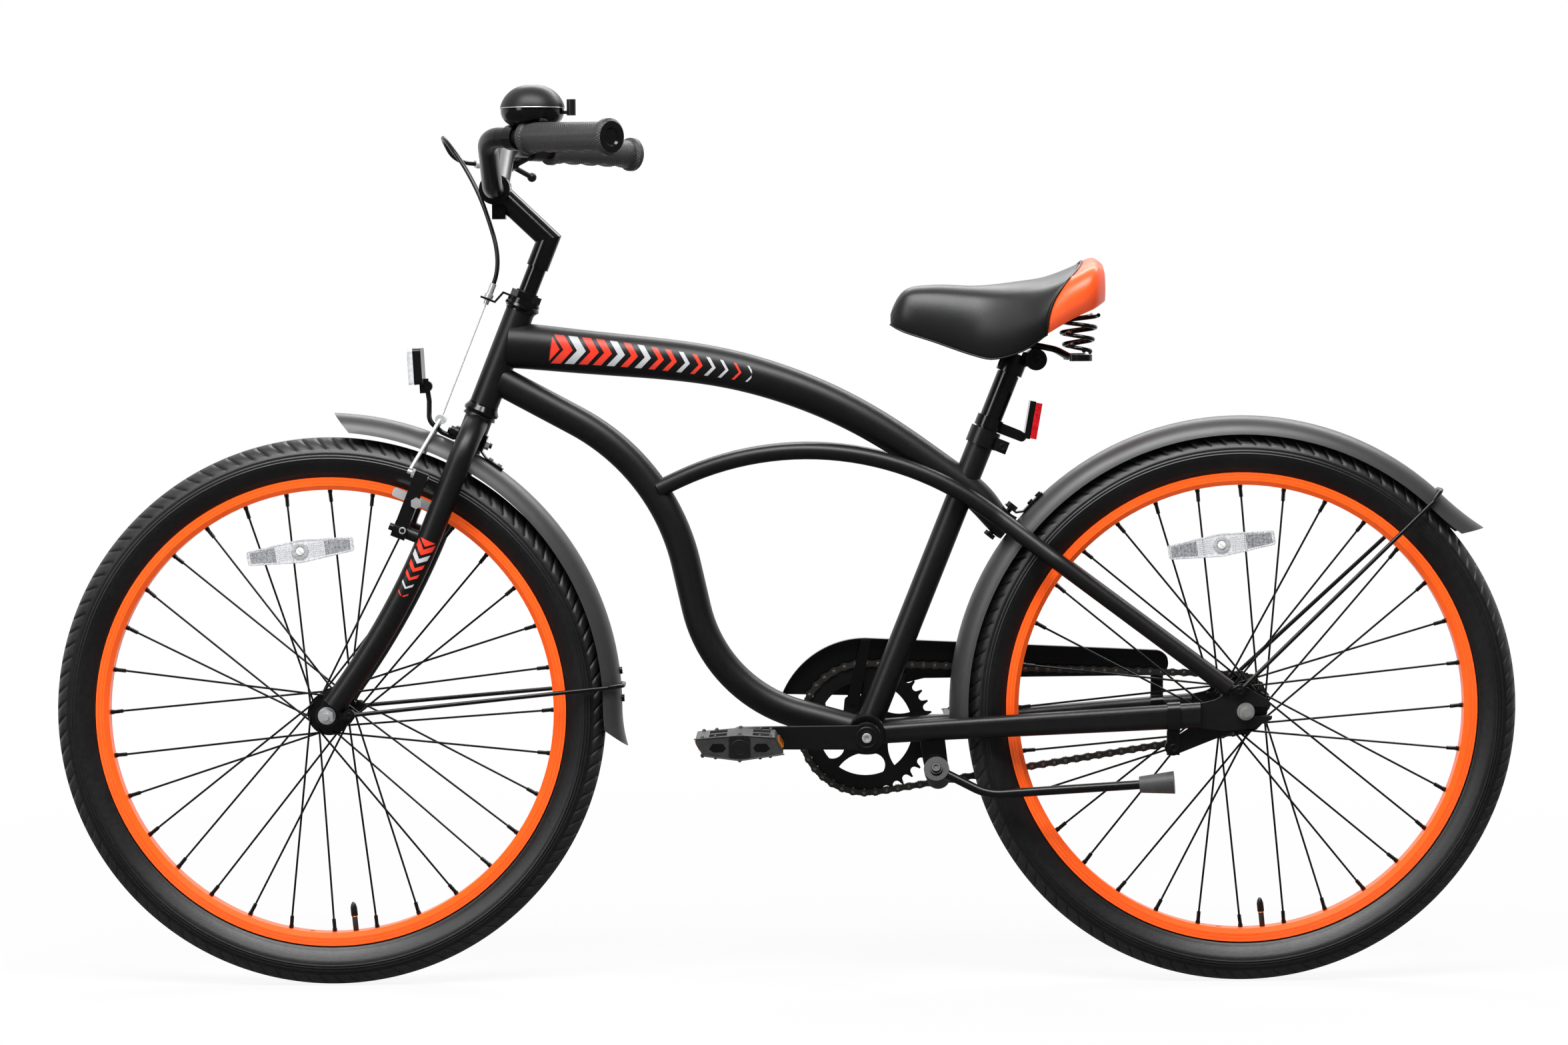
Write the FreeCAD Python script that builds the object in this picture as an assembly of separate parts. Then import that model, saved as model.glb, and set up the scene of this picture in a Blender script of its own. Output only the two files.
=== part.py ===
import FreeCAD, Part
import os
from math import asin, atan2, cos, hypot, pi, radians, sin, sqrt, tan

V = FreeCAD.Vector

# Beach cruiser bicycle, in millimetres and degrees.
# Forward is -X, the drive side is +Y, the ground is Z = 0, and X = 0 is midway between the axles.

# Fits
running_gap = 0.05
seat_gap = 0.2
thread_gap = 0.02

# Wheels
wheelbase = 1010.0
tyre_radius = 305.0
tyre_width = 50.0
tyre_height = 44.0
rim_radius = tyre_radius - tyre_height
rim_depth = 14.0
rim_width = 30.0
rim_wall = 2.2
rim_groove = 0.4
bead_height = 7.0
spoke_count = 32
spoke_cross = 3
spoke_radius = 1.15
nipple_radius = 2.1
nipple_length = 14.0
valve_radius = 3.0
valve_length = 32.0
wheel_reflector_length = 119.0
wheel_reflector_height = 26.0
wheel_reflector_depth = 5.0
wheel_reflector_radius = rim_radius - 79.0
wheel_reflector_tilt = 8.0
front_hub = V(-wheelbase / 2, 0, tyre_radius)
rear_hub = V(wheelbase / 2, 0, tyre_radius)

# Hubs and axles
front_axle_radius = 4.0
front_drop_inside = 50.0
front_flange_y = 29.0
front_flange_radius = 24.0
front_spoke_circle = 21.0
rear_axle_radius = 5.0
rear_drop_inside = 55.0
rear_flange_y = 24.0
rear_flange_radius = 27.5
rear_spoke_circle = 24.5
flange_thickness = 3.0
drop_plate = 5.0
axle_stick_out = 17.0
washer_radius = 9.7
washer_thickness = 1.6
axle_nut_height = 8.0
axle_nut_flats = 15.0
axle_end_relief = 0.2

# Chain drive
chain_pitch = 12.7
chainring_teeth = 36
sprocket_teeth = 16
links_per_run = 32
chainline = 42.0
roller_radius = 3.85
roller_width = 3.5
chain_plate = 1.0
plate_end_radius = 4.2
plate_waist = 2.9
tooth_gap_radius = 4.35
tooth_height = 3.3
tooth_tip = 1.8
ring_thickness = 2.9
swirl_count = 5
swirl_outer_radius = 53.0
swirl_inner_radius = 30.0

# Head, steering and fork
head_angle = 21.75
head_low = front_hub + V(172.0, 0, 340.0)
head_length = 111.0
head_tube_radius = 16.0
head_tube_bore = 13.6
steerer_radius = 12.7
steerer_bore = 10.5
cup_height = 10.0
upper_cup_height = 8.0
cup_radius = 20.0
race_height = 5.0
fork_lug_radius = 15.5
fork_lug_height = 34.0
crown_bolt_along = -40.0
reflector_foot = front_hub + V(101.0, 0, 363.0)
blade_radius = 13.0
blade_shoulder_y = 46.0
blade_shoulder_radius = 45.0
blade_rake_radius = 850.0
eyelet_radius = 5.8

# Frame tubes
top_tube_front = front_hub + V(200.0, 0, 406.0)
top_tube_bend = V(16.0, 0, tyre_radius + 375.0)
top_tube_crossing = rear_hub + V(-300.0, 0, 243.5)
top_tube_tail = rear_hub + V(-253.0, 0, 199.0)
top_tube_bend_radius = 556.0
top_tube_tail_bend = 150.0
top_tube_front_radius = 25.5
top_tube_crossing_radius = 17.0
top_tube_tail_radius = 15.5
tail_bolt_low = rear_hub + V(-279.7, 0, 190.8)
tail_bolt_high = rear_hub + V(-252.4, 0, 225.2)
down_tube_front = front_hub + V(190.0, 0, 367.0)
down_tube_knee = V(-134.2, 0, tyre_radius + 269.4)
down_tube_foot = rear_hub + V(-582.8, 0, 19.1)
down_tube_knee_radius = 241.0
down_tube_foot_radius = 160.0
down_tube_radius = 16.5
bottom_bracket_drop = 26.0
bottom_bracket_height = tyre_radius - bottom_bracket_drop
bottom_bracket_radius = 21.0
bottom_bracket_width = 68.0
seat_angle = 21.9
seat_tube_length = 362.0
seat_tube_radius = 14.3
seatpost_radius = 12.5
stay_radius = 9.25
stay_front = down_tube_knee + V(-5.8, 10.0, -23.7)
stay_peak = V(61.0, 24.0, tyre_radius + 338.5)
stay_seat = rear_hub + V(-270.0, 24.5, 213.2)
stay_fender = rear_hub + V(-205.0, 45.0, 164.6)
stay_rear = rear_hub + V(-18.0, 57.5, 24.7)
stay_arch_radius = 335.0
stay_spread_radius = 60.0
chainstay_front_y = 28.5
chainstay_rear_y = 57.5
chainstay_width = 16.0
chainstay_front_height = 22.0
chainstay_rear_height = 28.0
stay_end_reach = 50.0

# Fenders
front_fender_radius = tyre_radius + 22.0
front_fender_lead = 3.9
front_fender_rise = 5.1
rear_fender_radius = tyre_radius + 18.8
fender_half_width = 27.0
fender_depth = 20.5
fender_sheet = 1.0
stay_wire_radius = 2.3

# Handlebar, stem, grips, bell
bar_radius = 11.1
bar_centre = front_hub + V(187.0, 0, 578.0)
bar_straight = 48.0
bar_rise_point = bar_centre + V(2.0, 150.0, 52.0)
bar_end = bar_centre + V(138.0, 293.0, 47.0)
bar_lower_bend = 60.0
bar_upper_bend = 50.0
grip_length = 130.0
grip_radius = 16.0
finger_count = 4
finger_radius = 21.0
finger_depth = 2.8
stem_radius = 10.4
stem_arm_radius = 12.4
stem_height = 86.0
quill_depth = 70.0
bell_centre = bar_centre + V(53.0, -186.0, 0)
bell_radius = 34.5
bell_base_height = 19.0
bell_dome_height = 24.0
lever_drop = 18.0

# Front brake
brake_pivot_along = -160.0
brake_pivot_y = 45.0
brake_ahead = 33.0
brake_arm_length = 64.0
brake_pad_gap = 1.5
cable_radius = 2.5
wire_radius = 0.9
hanger_ahead = 38.5
hanger_along = 109.5
barrel_top = 129.0
carrier_along = -32.5

# Crank and pedals
crank_length = 138.0
crank_inside_y = 58.0
crank_thickness = 13.0
crank_eye_radius = 16.0
crank_tip_radius = 12.5
spindle_radius = 8.5
pedal_width = 88.0
pedal_gap = 8.0
pedal_axle_radius = 5.0

# Seat
saddle_length = 236.0
saddle_nose_x = rear_hub.x - 387.0
saddle_level = bottom_bracket_height + 421.0
spring_wire_radius = 2.2
spring_side_y = 58.0
spring_x = saddle_nose_x + 207.0
spring_base = saddle_level + 1.0
spring_pocket_top = saddle_level + 43.0
spring_pocket_radius = 22.0
spring_low_radius = 10.5
spring_top_radius = 19.0
spring_turns = 3.0
pan_height = saddle_level + 36.0
clamp_height = 19.0

# Kickstand
kick_pivot = rear_hub + V(-338.0, -27.0, -69.0)
kick_axis = V(0.095, 0.893, -0.44).normalize()
kick_knee = kick_pivot + V(55.0, -18.0, -23.0)
kick_foot = kick_pivot + V(229.0, -39.0, -10.0)
kick_leg_radius = 5.0
kick_foot_length = 38.0

# Chain guard
guard_y = 51.0
guard_sheet = 1.2
guard_lip = 9.0
guard_front_radius = 101.0

side = V(0, 1, 0)
up = V(0, 0, 1)
spring_height = spring_pocket_top - 0.6 - spring_wire_radius - spring_base
steer = V(sin(radians(head_angle)), 0, cos(radians(head_angle)))
ahead = V(-steer.z, 0, steer.x)
seat_way = V(sin(radians(seat_angle)), 0, cos(radians(seat_angle)))
seat_back = V(seat_way.z, 0, -seat_way.x)
tail_bolt_way = (tail_bolt_high - tail_bolt_low).normalize()
front_fender_centre = front_hub + V(-front_fender_lead, 0, front_fender_rise)
nodes = {}


def path(points, radii, closed=False):
    """Edges of straight runs joined by tangent arcs, one radius for each corner."""
    count = len(points)
    corners = range(count) if closed else range(1, count - 1)
    starts = {}
    ends = {}
    arcs = {}
    for i in corners:
        here = points[i]
        radius = radii[i] if closed else radii[i - 1]
        starts[i] = here
        ends[i] = here
        if radius <= 0:
            continue
        back = (points[i - 1] - here).normalize()
        on = (points[(i + 1) % count] - here).normalize()
        half = back.getAngle(on) / 2
        reach = radius / tan(half)
        middle = (back + on).normalize()
        starts[i] = here + back * reach
        ends[i] = here + on * reach
        arcs[i] = here + middle * (radius / sin(half) - radius)
    edges = []
    last = count if closed else count - 1
    for i in range(last):
        j = (i + 1) % count
        leave = ends.get(i, points[i])
        reach = starts.get(j, points[j])
        if (reach - leave).Length > 1e-6:
            edges.append(Part.LineSegment(leave, reach).toShape())
        if j in arcs:
            edges.append(Part.Arc(starts[j], arcs[j], ends[j]).toShape())
    return edges


def rod(points, radii, radius):
    """Round bar along straight runs and arcs."""
    spine = Part.Wire(path(points, radii))
    ring = Part.Wire(Part.Circle(points[0], points[1] - points[0], radius).toShape())
    return spine.makePipeShell([ring], True, False)


def cylinder(start, end, radius):
    return Part.makeCylinder(radius, (end - start).Length, start, end - start)


def across(direction):
    """Two unit vectors square to a direction."""
    helper = side if abs(direction.y) < 0.9 * direction.Length else V(1, 0, 0)
    first = direction.cross(helper).normalize()
    return first, direction.cross(first).normalize()


def polygon_bar(start, end, radius, sides=6):
    first, second = across(end - start)
    turns = [2 * pi * i / sides for i in range(sides)]
    ring = [start + first * (radius * cos(a)) + second * (radius * sin(a)) for a in turns]
    return Part.Face(Part.makePolygon(ring + ring[:1])).extrude(end - start)


def hexagon(start, end, flats):
    return polygon_bar(start, end, flats / sqrt(3))


def prism(outline, radii, y_start, y_end):
    """Plate in an XZ outline between two Y planes."""
    points = [V(x, y_start, z) for x, z in outline]
    if not isinstance(radii, (list, tuple)):
        radii = [radii] * len(points)
    face = Part.Face(Part.Wire(path(points, radii, True)))
    return face.extrude(V(0, y_end - y_start, 0))


def lathe(origin, direction, profile):
    """Solid of revolution; a profile entry is (along, radius), with a middle pair added for an arc."""
    axis = V(direction).normalize()
    out, _ = across(axis)
    spots = [origin + axis * p[0] + out * p[1] for p in profile]
    edges = []
    for i, here in enumerate(spots):
        there = spots[(i + 1) % len(spots)]
        entry = profile[(i + 1) % len(spots)]
        if len(entry) == 4:
            middle = origin + axis * entry[2] + out * entry[3]
            edges.append(Part.Arc(here, middle, there).toShape())
        elif (there - here).Length > 1e-6:
            edges.append(Part.LineSegment(here, there).toShape())
    return Part.Face(Part.Wire(edges)).revolve(origin, axis, 360)


def collar(origin, direction, start, end, outer, inner):
    return lathe(origin, direction, [(start, inner), (end, inner), (end, outer), (start, outer)])


def mirrored(shape):
    return shape.mirror(V(0, 0, 0), side)


def fork_point(along, forward=0.0, y=0.0):
    """A place given along the steering axis, ahead of it and sideways."""
    return head_low + steer * along + ahead * forward + side * y


def polar(centre, radius, angle, y=0.0):
    """A place in a wheel plane; angle 0 is forward and 90 is up."""
    turn = radians(angle)
    return V(centre.x - radius * cos(turn), y, centre.z + radius * sin(turn))


def add(name, *shapes):
    solids = []
    for shape in shapes:
        solids.extend(shape.Solids)
    nodes[name] = solids


# Chain drive layout: the pins are exactly one pitch apart, so the two centres follow from the counts.
ring_radius = chain_pitch / 2 / sin(pi / chainring_teeth)
sprocket_radius = chain_pitch / 2 / sin(pi / sprocket_teeth)
ring_step = 2 * pi / chainring_teeth
sprocket_step = 2 * pi / sprocket_teeth
lean = asin((ring_radius - sprocket_radius) / ((links_per_run + 1) * chain_pitch))
ring_pins = 2 * int((pi / 2 + lean) / ring_step + 0.5)
sprocket_pins = 2 * int((pi / 2 - lean) / sprocket_step + 0.5)
ring_wrap = pi - (ring_pins - 1) / 2 * ring_step
sprocket_wrap = (sprocket_pins - 1) / 2 * sprocket_step
run = (links_per_run + 1) * chain_pitch
drop = ring_radius * sin(ring_wrap) - sprocket_radius * sin(sprocket_wrap)
flat = sprocket_radius * cos(sprocket_wrap) - ring_radius * cos(ring_wrap)
centre_distance = sqrt(run ** 2 - drop ** 2) - flat
bracket_x = rear_hub.x - sqrt(centre_distance ** 2 - (tyre_radius - bottom_bracket_height) ** 2)
bracket = V(bracket_x, 0, bottom_bracket_height)
seat_top = bracket + seat_way * seat_tube_length
drive_axis = (rear_hub - bracket).normalize()
drive_up = drive_axis.cross(side) * -1


def drive_point(centre, radius, angle):
    return centre + drive_axis * (radius * cos(angle)) + drive_up * (radius * sin(angle))


def chain_pins():
    pins = []
    for i in range(ring_pins):
        pins.append(drive_point(bracket, ring_radius, ring_wrap + i * ring_step))
    lower_end = drive_point(rear_hub, sprocket_radius, -sprocket_wrap)
    step = (lower_end - pins[-1]) * (1 / (links_per_run + 1))
    pins.extend([pins[ring_pins - 1] + step * (i + 1) for i in range(links_per_run)])
    for i in range(sprocket_pins):
        pins.append(drive_point(rear_hub, sprocket_radius, -sprocket_wrap + i * sprocket_step))
    step = (pins[0] - pins[-1]) * (1 / (links_per_run + 1))
    last = pins[-1]
    pins.extend([last + step * (i + 1) for i in range(links_per_run)])
    return pins


def chain_plate_solid(start, end, y_start, y_end):
    """Waisted side plate round two pins."""
    along = (end - start).normalize()
    square = along.cross(side)
    e = plate_end_radius
    b = 0.4 * e
    p = chain_pitch
    half = [(-e, b), (-b, e), (p / 2, plate_waist), (p + b, e), (p + e, b)]
    outline = half + [(u, -w) for u, w in reversed(half)]
    ring = [start + along * u + square * w + side * y_start for u, w in outline]
    return Part.Face(Part.makePolygon(ring + ring[:1])).extrude(side * (y_end - y_start))


def make_chain():
    pins = chain_pins()
    inner = roller_width / 2
    outer = inner + chain_plate + seat_gap
    solids = []
    for i, pin in enumerate(pins):
        after = pins[(i + 1) % len(pins)]
        near = inner if i % 2 == 0 else outer
        for sign in (-1, 1):
            y = chainline + sign * near
            solids.append(chain_plate_solid(pin, after, y, y + sign * chain_plate))
        roller_start = pin + side * (chainline - inner)
        solids.append(polygon_bar(roller_start, roller_start + side * roller_width, roller_radius))
    add("chain", *solids)


def toothed_disc(centre, teeth, radius, phase):
    """Disc with a round gap for each roller and a pointed tooth between."""
    step = 2 * pi / teeth
    y = side * (chainline - ring_thickness / 2)
    edges = []
    first = None
    last = None
    for i in range(teeth):
        angle = phase + i * step
        out = drive_point(V(0, 0, 0), 1, angle)
        along = drive_point(V(0, 0, 0), 1, angle + pi / 2)
        pin = centre + out * radius + y
        g = tooth_gap_radius
        start = pin - out * (g * cos(radians(65))) - along * (g * sin(radians(65)))
        deep = pin - out * g
        end = pin - out * (g * cos(radians(65))) + along * (g * sin(radians(65)))
        tip_out = drive_point(V(0, 0, 0), 1, angle + step / 2)
        tip_along = drive_point(V(0, 0, 0), 1, angle + step / 2 + pi / 2)
        tip = centre + tip_out * (radius + tooth_height) + y
        tip_start = tip - tip_along * (tooth_tip / 2)
        tip_end = tip + tip_along * (tooth_tip / 2)
        if last is None:
            first = start
        else:
            edges.append(Part.LineSegment(last, start).toShape())
        edges.append(Part.Arc(start, deep, end).toShape())
        edges.append(Part.LineSegment(end, tip_start).toShape())
        edges.append(Part.LineSegment(tip_start, tip_end).toShape())
        last = tip_end
    edges.append(Part.LineSegment(last, first).toShape())
    return Part.Face(Part.Wire(edges)).extrude(side * ring_thickness)


def swirl_window(centre, start_angle):
    """Curved opening between two sickle-shaped arms."""
    y = side * (chainline - ring_thickness)

    def spot(radius, angle):
        return drive_point(centre, radius, radians(start_angle + angle)) + y

    middle = (swirl_inner_radius + swirl_outer_radius) / 2
    corners = [
        spot(swirl_outer_radius, 0), spot(swirl_outer_radius, 28), spot(swirl_outer_radius, 56),
        spot(middle + 2, 54), spot(swirl_inner_radius, 37),
        spot(swirl_inner_radius, 18), spot(swirl_inner_radius + 1, 0),
        spot(middle, -8),
    ]
    edges = []
    for i in range(0, len(corners), 2):
        edges.append(Part.Arc(corners[i], corners[i + 1], corners[(i + 2) % len(corners)]).toShape())
    return Part.Face(Part.Wire(edges)).extrude(side * (2 * ring_thickness))


def make_drive():
    make_chain()
    ring = toothed_disc(bracket, chainring_teeth, ring_radius, ring_wrap)
    hole = cylinder(bracket + side * 30, bracket + side * 60, spindle_radius + 3)
    windows = [swirl_window(bracket, i * 360 / swirl_count) for i in range(swirl_count)]
    add("chainring", ring.cut([hole] + windows))
    disc = toothed_disc(rear_hub, sprocket_teeth, sprocket_radius, -sprocket_wrap)
    driver = collar(rear_hub, side, 38.3, 46.0, 15.0, rear_axle_radius + running_gap)
    bore = cylinder(rear_hub + side * 30, rear_hub + side * 60, 14.0)
    add("rear_sprocket", disc.cut(bore).fuse(driver).removeSplitter())


def make_wheel(prefix, centre, flange_y, flange_radius, spoke_circle):
    """Tyre with valve, rim, and crossed spokes of one wheel."""
    half = tyre_width / 2
    belly = tyre_radius - half
    bead = rim_width / 2 - rim_wall
    seat = rim_radius - bead_height
    lip = rim_radius + 1
    arc = sqrt(0.5)
    bulge = 1.6
    tyre = lathe(centre, side, [
        (-bead, seat), (-bead, lip),
        (-half, belly, -(bead + half) / 2 - bulge, (lip + belly) / 2 - bulge),
        (0, tyre_radius, -half * arc, belly + half * arc),
        (half, belly, half * arc, belly + half * arc),
        (bead, lip, (bead + half) / 2 + bulge, (lip + belly) / 2 - bulge),
        (bead, seat),
    ])
    wide = rim_width / 2
    inside = rim_radius - rim_depth
    grooves = []
    for drop in (2.6, 6.4):
        top = rim_radius - drop
        grooves += [(wide, top), (wide - rim_groove, top - rim_groove), (wide, top - 2 * rim_groove)]
    rim = lathe(centre, side, [
        (-wide, rim_radius), (-bead, rim_radius), (-bead, seat), (-wide + 6, seat - 2),
        (wide - 6, seat - 2), (bead, seat), (bead, rim_radius), (wide, rim_radius),
        *grooves, (wide, inside + 5), (wide - 5.5, inside), (-wide + 5.5, inside), (-wide, inside + 5),
        *[(-y, r) for y, r in reversed(grooves)],
    ])
    valve_angle = -90 + 360 / spoke_count / 2
    valve_tip = polar(centre, seat - valve_length, valve_angle)
    valve_hole = cylinder(polar(centre, rim_radius, valve_angle), valve_tip, valve_radius + seat_gap)
    valve = cylinder(polar(centre, seat, valve_angle), valve_tip, valve_radius)
    cap = cylinder(valve_tip, polar(centre, seat - valve_length - 8, valve_angle), valve_radius - 0.4)
    add(prefix + "_tyre", tyre, valve.fuse(cap).removeSplitter())
    add(prefix + "_rim", rim.cut(valve_hole))

    spokes = []
    face = flange_thickness / 2
    slope = flange_y / rim_radius
    for i in range(spoke_count):
        rim_angle = 90 + 360 / spoke_count * i
        sign = 1 if i % 2 == 0 else -1
        lead = 1 if (i // 2) % 2 == 0 else -1
        hub_angle = rim_angle + lead * spoke_cross * 720 / spoke_count
        overhang = sqrt(flange_radius ** 2 - spoke_circle ** 2) * slope if lead > 0 else 0.0
        offset = face + spoke_radius + seat_gap + overhang
        at_hub = polar(centre, spoke_circle, hub_angle, sign * (flange_y + lead * offset))
        elbow_end = polar(centre, spoke_circle, hub_angle, sign * (flange_y + lead * face))
        at_rim = polar(centre, inside, rim_angle, sign * 2.5)
        along = (at_hub - at_rim).normalize()
        shoulder = at_rim + along * nipple_length
        nipple_root = polar(centre, inside, rim_angle, sign * 2.5)
        nipple_tip = polar(centre, inside - nipple_length, rim_angle, sign * 2.5)
        nipple_square = (nipple_tip - nipple_root).normalize()
        nipple_end = nipple_root + nipple_square * (nipple_length * 0.25)
        root = polygon_bar(nipple_root, nipple_end, nipple_radius + 0.5)
        nipple = polygon_bar(nipple_end - along * 1.5, shoulder, nipple_radius)
        wire = polygon_bar(shoulder, at_hub + along * spoke_radius, spoke_radius)
        elbow = polygon_bar(at_hub, elbow_end, spoke_radius * 0.9)
        spokes.append(root.fuse([nipple, wire, elbow]))
    add(prefix + "_spokes", *spokes)


def make_wheel_reflector(prefix, centre, angle):
    """Clear bar that rests on the near-side spokes through two clip bosses."""
    middle = polar(centre, wheel_reflector_radius, angle)
    half = wheel_reflector_length / 2
    tall = wheel_reflector_height / 2
    depth = wheel_reflector_depth
    end = 0.6 * tall
    outline = [(-half, -end), (-half, end), (0, tall), (half, end), (half, -end), (0, -tall)]
    near = -60.0
    body = prism(outline, [3, 3, 60, 3, 3, 60], near, near + depth)
    bosses = []
    for shift in (-18, 18):
        corners = [(shift - 13, -4), (shift - 13, 4), (shift + 13, 4), (shift + 13, -4)]
        bosses.append(prism(corners, 0, near + depth, near + depth + 3))
    piece = body.fuse(bosses).removeSplitter()
    piece.rotate(V(0, 0, 0), side, -wheel_reflector_tilt)
    piece.translate(middle)
    zone = Part.makeBox(2 * half, 60, 2 * tall + 16, V(middle.x - half, -60, middle.z - tall - 8))
    crossing = Part.makeCompound(nodes[prefix + "_spokes"]).common(zone)
    low = 0.0
    high = 60.0
    for _ in range(12):
        middle_way = (low + high) / 2
        trial = piece.copy()
        trial.translate(side * middle_way)
        if trial.distToShape(crossing)[0] > 0.01:
            low = middle_way
        else:
            high = middle_way
    piece.translate(side * low)
    add(prefix + "_wheel_reflector", piece)


def axle_hardware(centre, radius, inside, left_end, right_end):
    """Axle rod, inner cones, washers and outer nuts."""
    outside = inside + drop_plate
    end = outside + axle_stick_out
    nut_end = outside + washer_thickness + axle_nut_height
    rod_body = cylinder(centre - side * nut_end, centre + side * nut_end, radius)
    rod_ends = cylinder(centre - side * end, centre + side * end, radius - axle_end_relief)
    solids = [rod_body.fuse(rod_ends).removeSplitter()]
    bore = radius + thread_gap
    for sign, hub_end in ((-1, left_end), (1, right_end)):
        way = side * sign
        solids.append(collar(centre, way, hub_end, inside, radius + 4.5, bore))
        washer_end = outside + washer_thickness
        solids.append(collar(centre, way, outside, washer_end, washer_radius, bore))
        nut_end = washer_end + axle_nut_height
        nut = hexagon(centre + way * washer_end, centre + way * nut_end, axle_nut_flats)
        solids.append(nut.cut(cylinder(centre, centre + way * (end + 10), bore)))
    return solids


def make_hubs():
    bore = front_axle_radius + running_gap
    f = front_flange_y
    t = flange_thickness / 2
    face = front_spoke_circle - 3.5
    shell = lathe(front_hub, side, [
        (-44, bore), (44, bore), (44, 9.5), (f + t, 13.0), (f + t, front_flange_radius),
        (f - t, front_flange_radius), (f - t, face), (f - t - 5, 12.5), (-f + t + 5, 12.5), (-f + t, face),
        (-f + t, front_flange_radius),
        (-f - t, front_flange_radius), (-f - t, 13.0), (-44, 9.5),
    ])
    add("front_hub", shell)
    add("front_axle", *axle_hardware(front_hub, front_axle_radius, front_drop_inside, 44.2, 44.2))
    bore = rear_axle_radius + running_gap
    f = rear_flange_y
    face = rear_spoke_circle - 3.5
    shell = lathe(rear_hub, side, [
        (-46, bore), (38, bore), (38, 16.5), (f + t, 18.5), (f + t, rear_flange_radius),
        (f - t, rear_flange_radius), (f - t, face), (f - t - 2, 17.5), (-f + t + 2, 17.5), (-f + t, face),
        (-f + t, rear_flange_radius),
        (-f - t, rear_flange_radius), (-f - t, 20.5), (-40, 20.5), (-46, 17.0),
    ])
    add("rear_hub", shell)
    add("rear_axle", *axle_hardware(rear_hub, rear_axle_radius, rear_drop_inside, 49.3, 46.3))


def make_frame():
    """Tubes are mitred against each other, so their ends meet face to face."""
    head_top = fork_point(head_length)
    head_outer = cylinder(fork_point(0), head_top, head_tube_radius)
    add("head_tube", head_outer.cut(cylinder(fork_point(-5), fork_point(head_length + 5), head_tube_bore)))

    half_width = bottom_bracket_width / 2
    shell = cylinder(bracket - side * half_width, bracket + side * half_width, bottom_bracket_radius)
    add("bottom_bracket_shell", collar(
        bracket, side, -half_width, half_width, bottom_bracket_radius, bottom_bracket_radius - 4))

    seat_outer = cylinder(bracket, seat_top, seat_tube_radius)
    seat_bore = cylinder(bracket, seat_top + seat_way * 5, seatpost_radius + running_gap)
    add("seat_tube", seat_outer.cut([seat_bore, shell]))

    top_full = top_tube_solid()
    fender_room = cylinder(rear_hub - side * 60, rear_hub + side * 60, rear_fender_radius + 2.2)
    bolt_room = cylinder(tail_bolt_low, tail_bolt_high, 3.0 + seat_gap)
    add("top_tube", top_full.cut([head_outer, seat_outer, fender_room, bolt_room]))

    down_points = [down_tube_front, down_tube_knee, down_tube_foot, bracket]
    down_full = rod(down_points, [down_tube_knee_radius, down_tube_foot_radius], down_tube_radius)
    add("down_tube", down_full.cut([head_outer, top_full, shell, seat_outer]))

    stay_points, stay_radii = stay_line()
    plate = dropout_plate()
    stay = rod(stay_points, stay_radii, stay_radius).cut([down_full, top_full, seat_outer, plate])
    stay = max(stay.Solids, key=lambda s: s.Volume)
    add("stay_tubes", stay, mirrored(stay))

    shell_room = cylinder(bracket - side * 60, bracket + side * 60, bottom_bracket_radius)
    chainstay = chainstay_solid().cut(shell_room)
    chainstay = max(chainstay.Solids, key=lambda s: s.Volume)
    add("chainstays", chainstay, plate, mirrored(chainstay), mirrored(plate))

    cups = []
    bore = steerer_radius + running_gap
    for origin, way, tall in ((fork_point(0), steer * -1, cup_height), (head_top, steer, upper_cup_height)):
        cups.append(lathe(origin, way, [
            (0, bore), (tall, bore), (tall, cup_radius - 1), (tall - 3, cup_radius),
            (1.5, head_tube_radius + 0.8), (0, head_tube_radius + 0.8),
        ]))
    for sign in (-1, 1):
        cups.append(collar(
            bracket, side * sign, half_width, half_width + 5, bottom_bracket_radius - 1,
            spindle_radius + running_gap))
    add("bearing_cups", *cups)
    make_seat_clamp()


def stay_line():
    """Corners and bends of the drive-side stay tube."""
    points = [stay_front, stay_peak, stay_seat, stay_fender, stay_rear]
    return points, [stay_arch_radius, stay_spread_radius, stay_spread_radius]


def dropout_plate():
    """Rear-opening dropout on the drive side with its stay eyelet."""
    x = rear_hub.x
    z = rear_hub.z
    front = -stay_end_reach
    outline = [
        (front, 9), (-32, 13), (-13, 27), (3, 26), (24, 13), (29, 3), (29, -9), (6, -19), (-24, -21.5),
        (front, -18),
    ]
    points = [(x + u, z + w) for u, w in outline]
    inside = rear_drop_inside
    plate = prism(points, [0, 20, 12, 8, 8, 3, 4, 30, 30, 0], inside, inside + drop_plate)
    half = rear_axle_radius + seat_gap
    slot_outline = [(x - 9, z - half), (x - 9, z + half), (x + 40, z + half), (x + 40, z - half)]
    slot = prism(slot_outline, [4, 4, 0, 0], 0, 90)
    eyelet = rear_eyelet()
    boss = cylinder(eyelet, eyelet + side * 8, eyelet_radius)
    hole = cylinder(eyelet - side * 10, eyelet + side * 20, 2.6)
    return plate.cut(slot).fuse(boss).removeSplitter().cut(hole)


def rear_eyelet():
    return V(rear_hub.x - 7, rear_drop_inside, rear_hub.z + 23)


def oval(centre, width, height):
    """Section across X with flat sides and quarter-round corners."""
    r = width / 2 - 0.5
    y = width / 2
    z = height / 2
    corners = [V(0, -y, -z), V(0, y, -z), V(0, y, z), V(0, -y, z)]
    return Part.Wire(path([centre + c for c in corners], [r] * 4, True))


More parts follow.
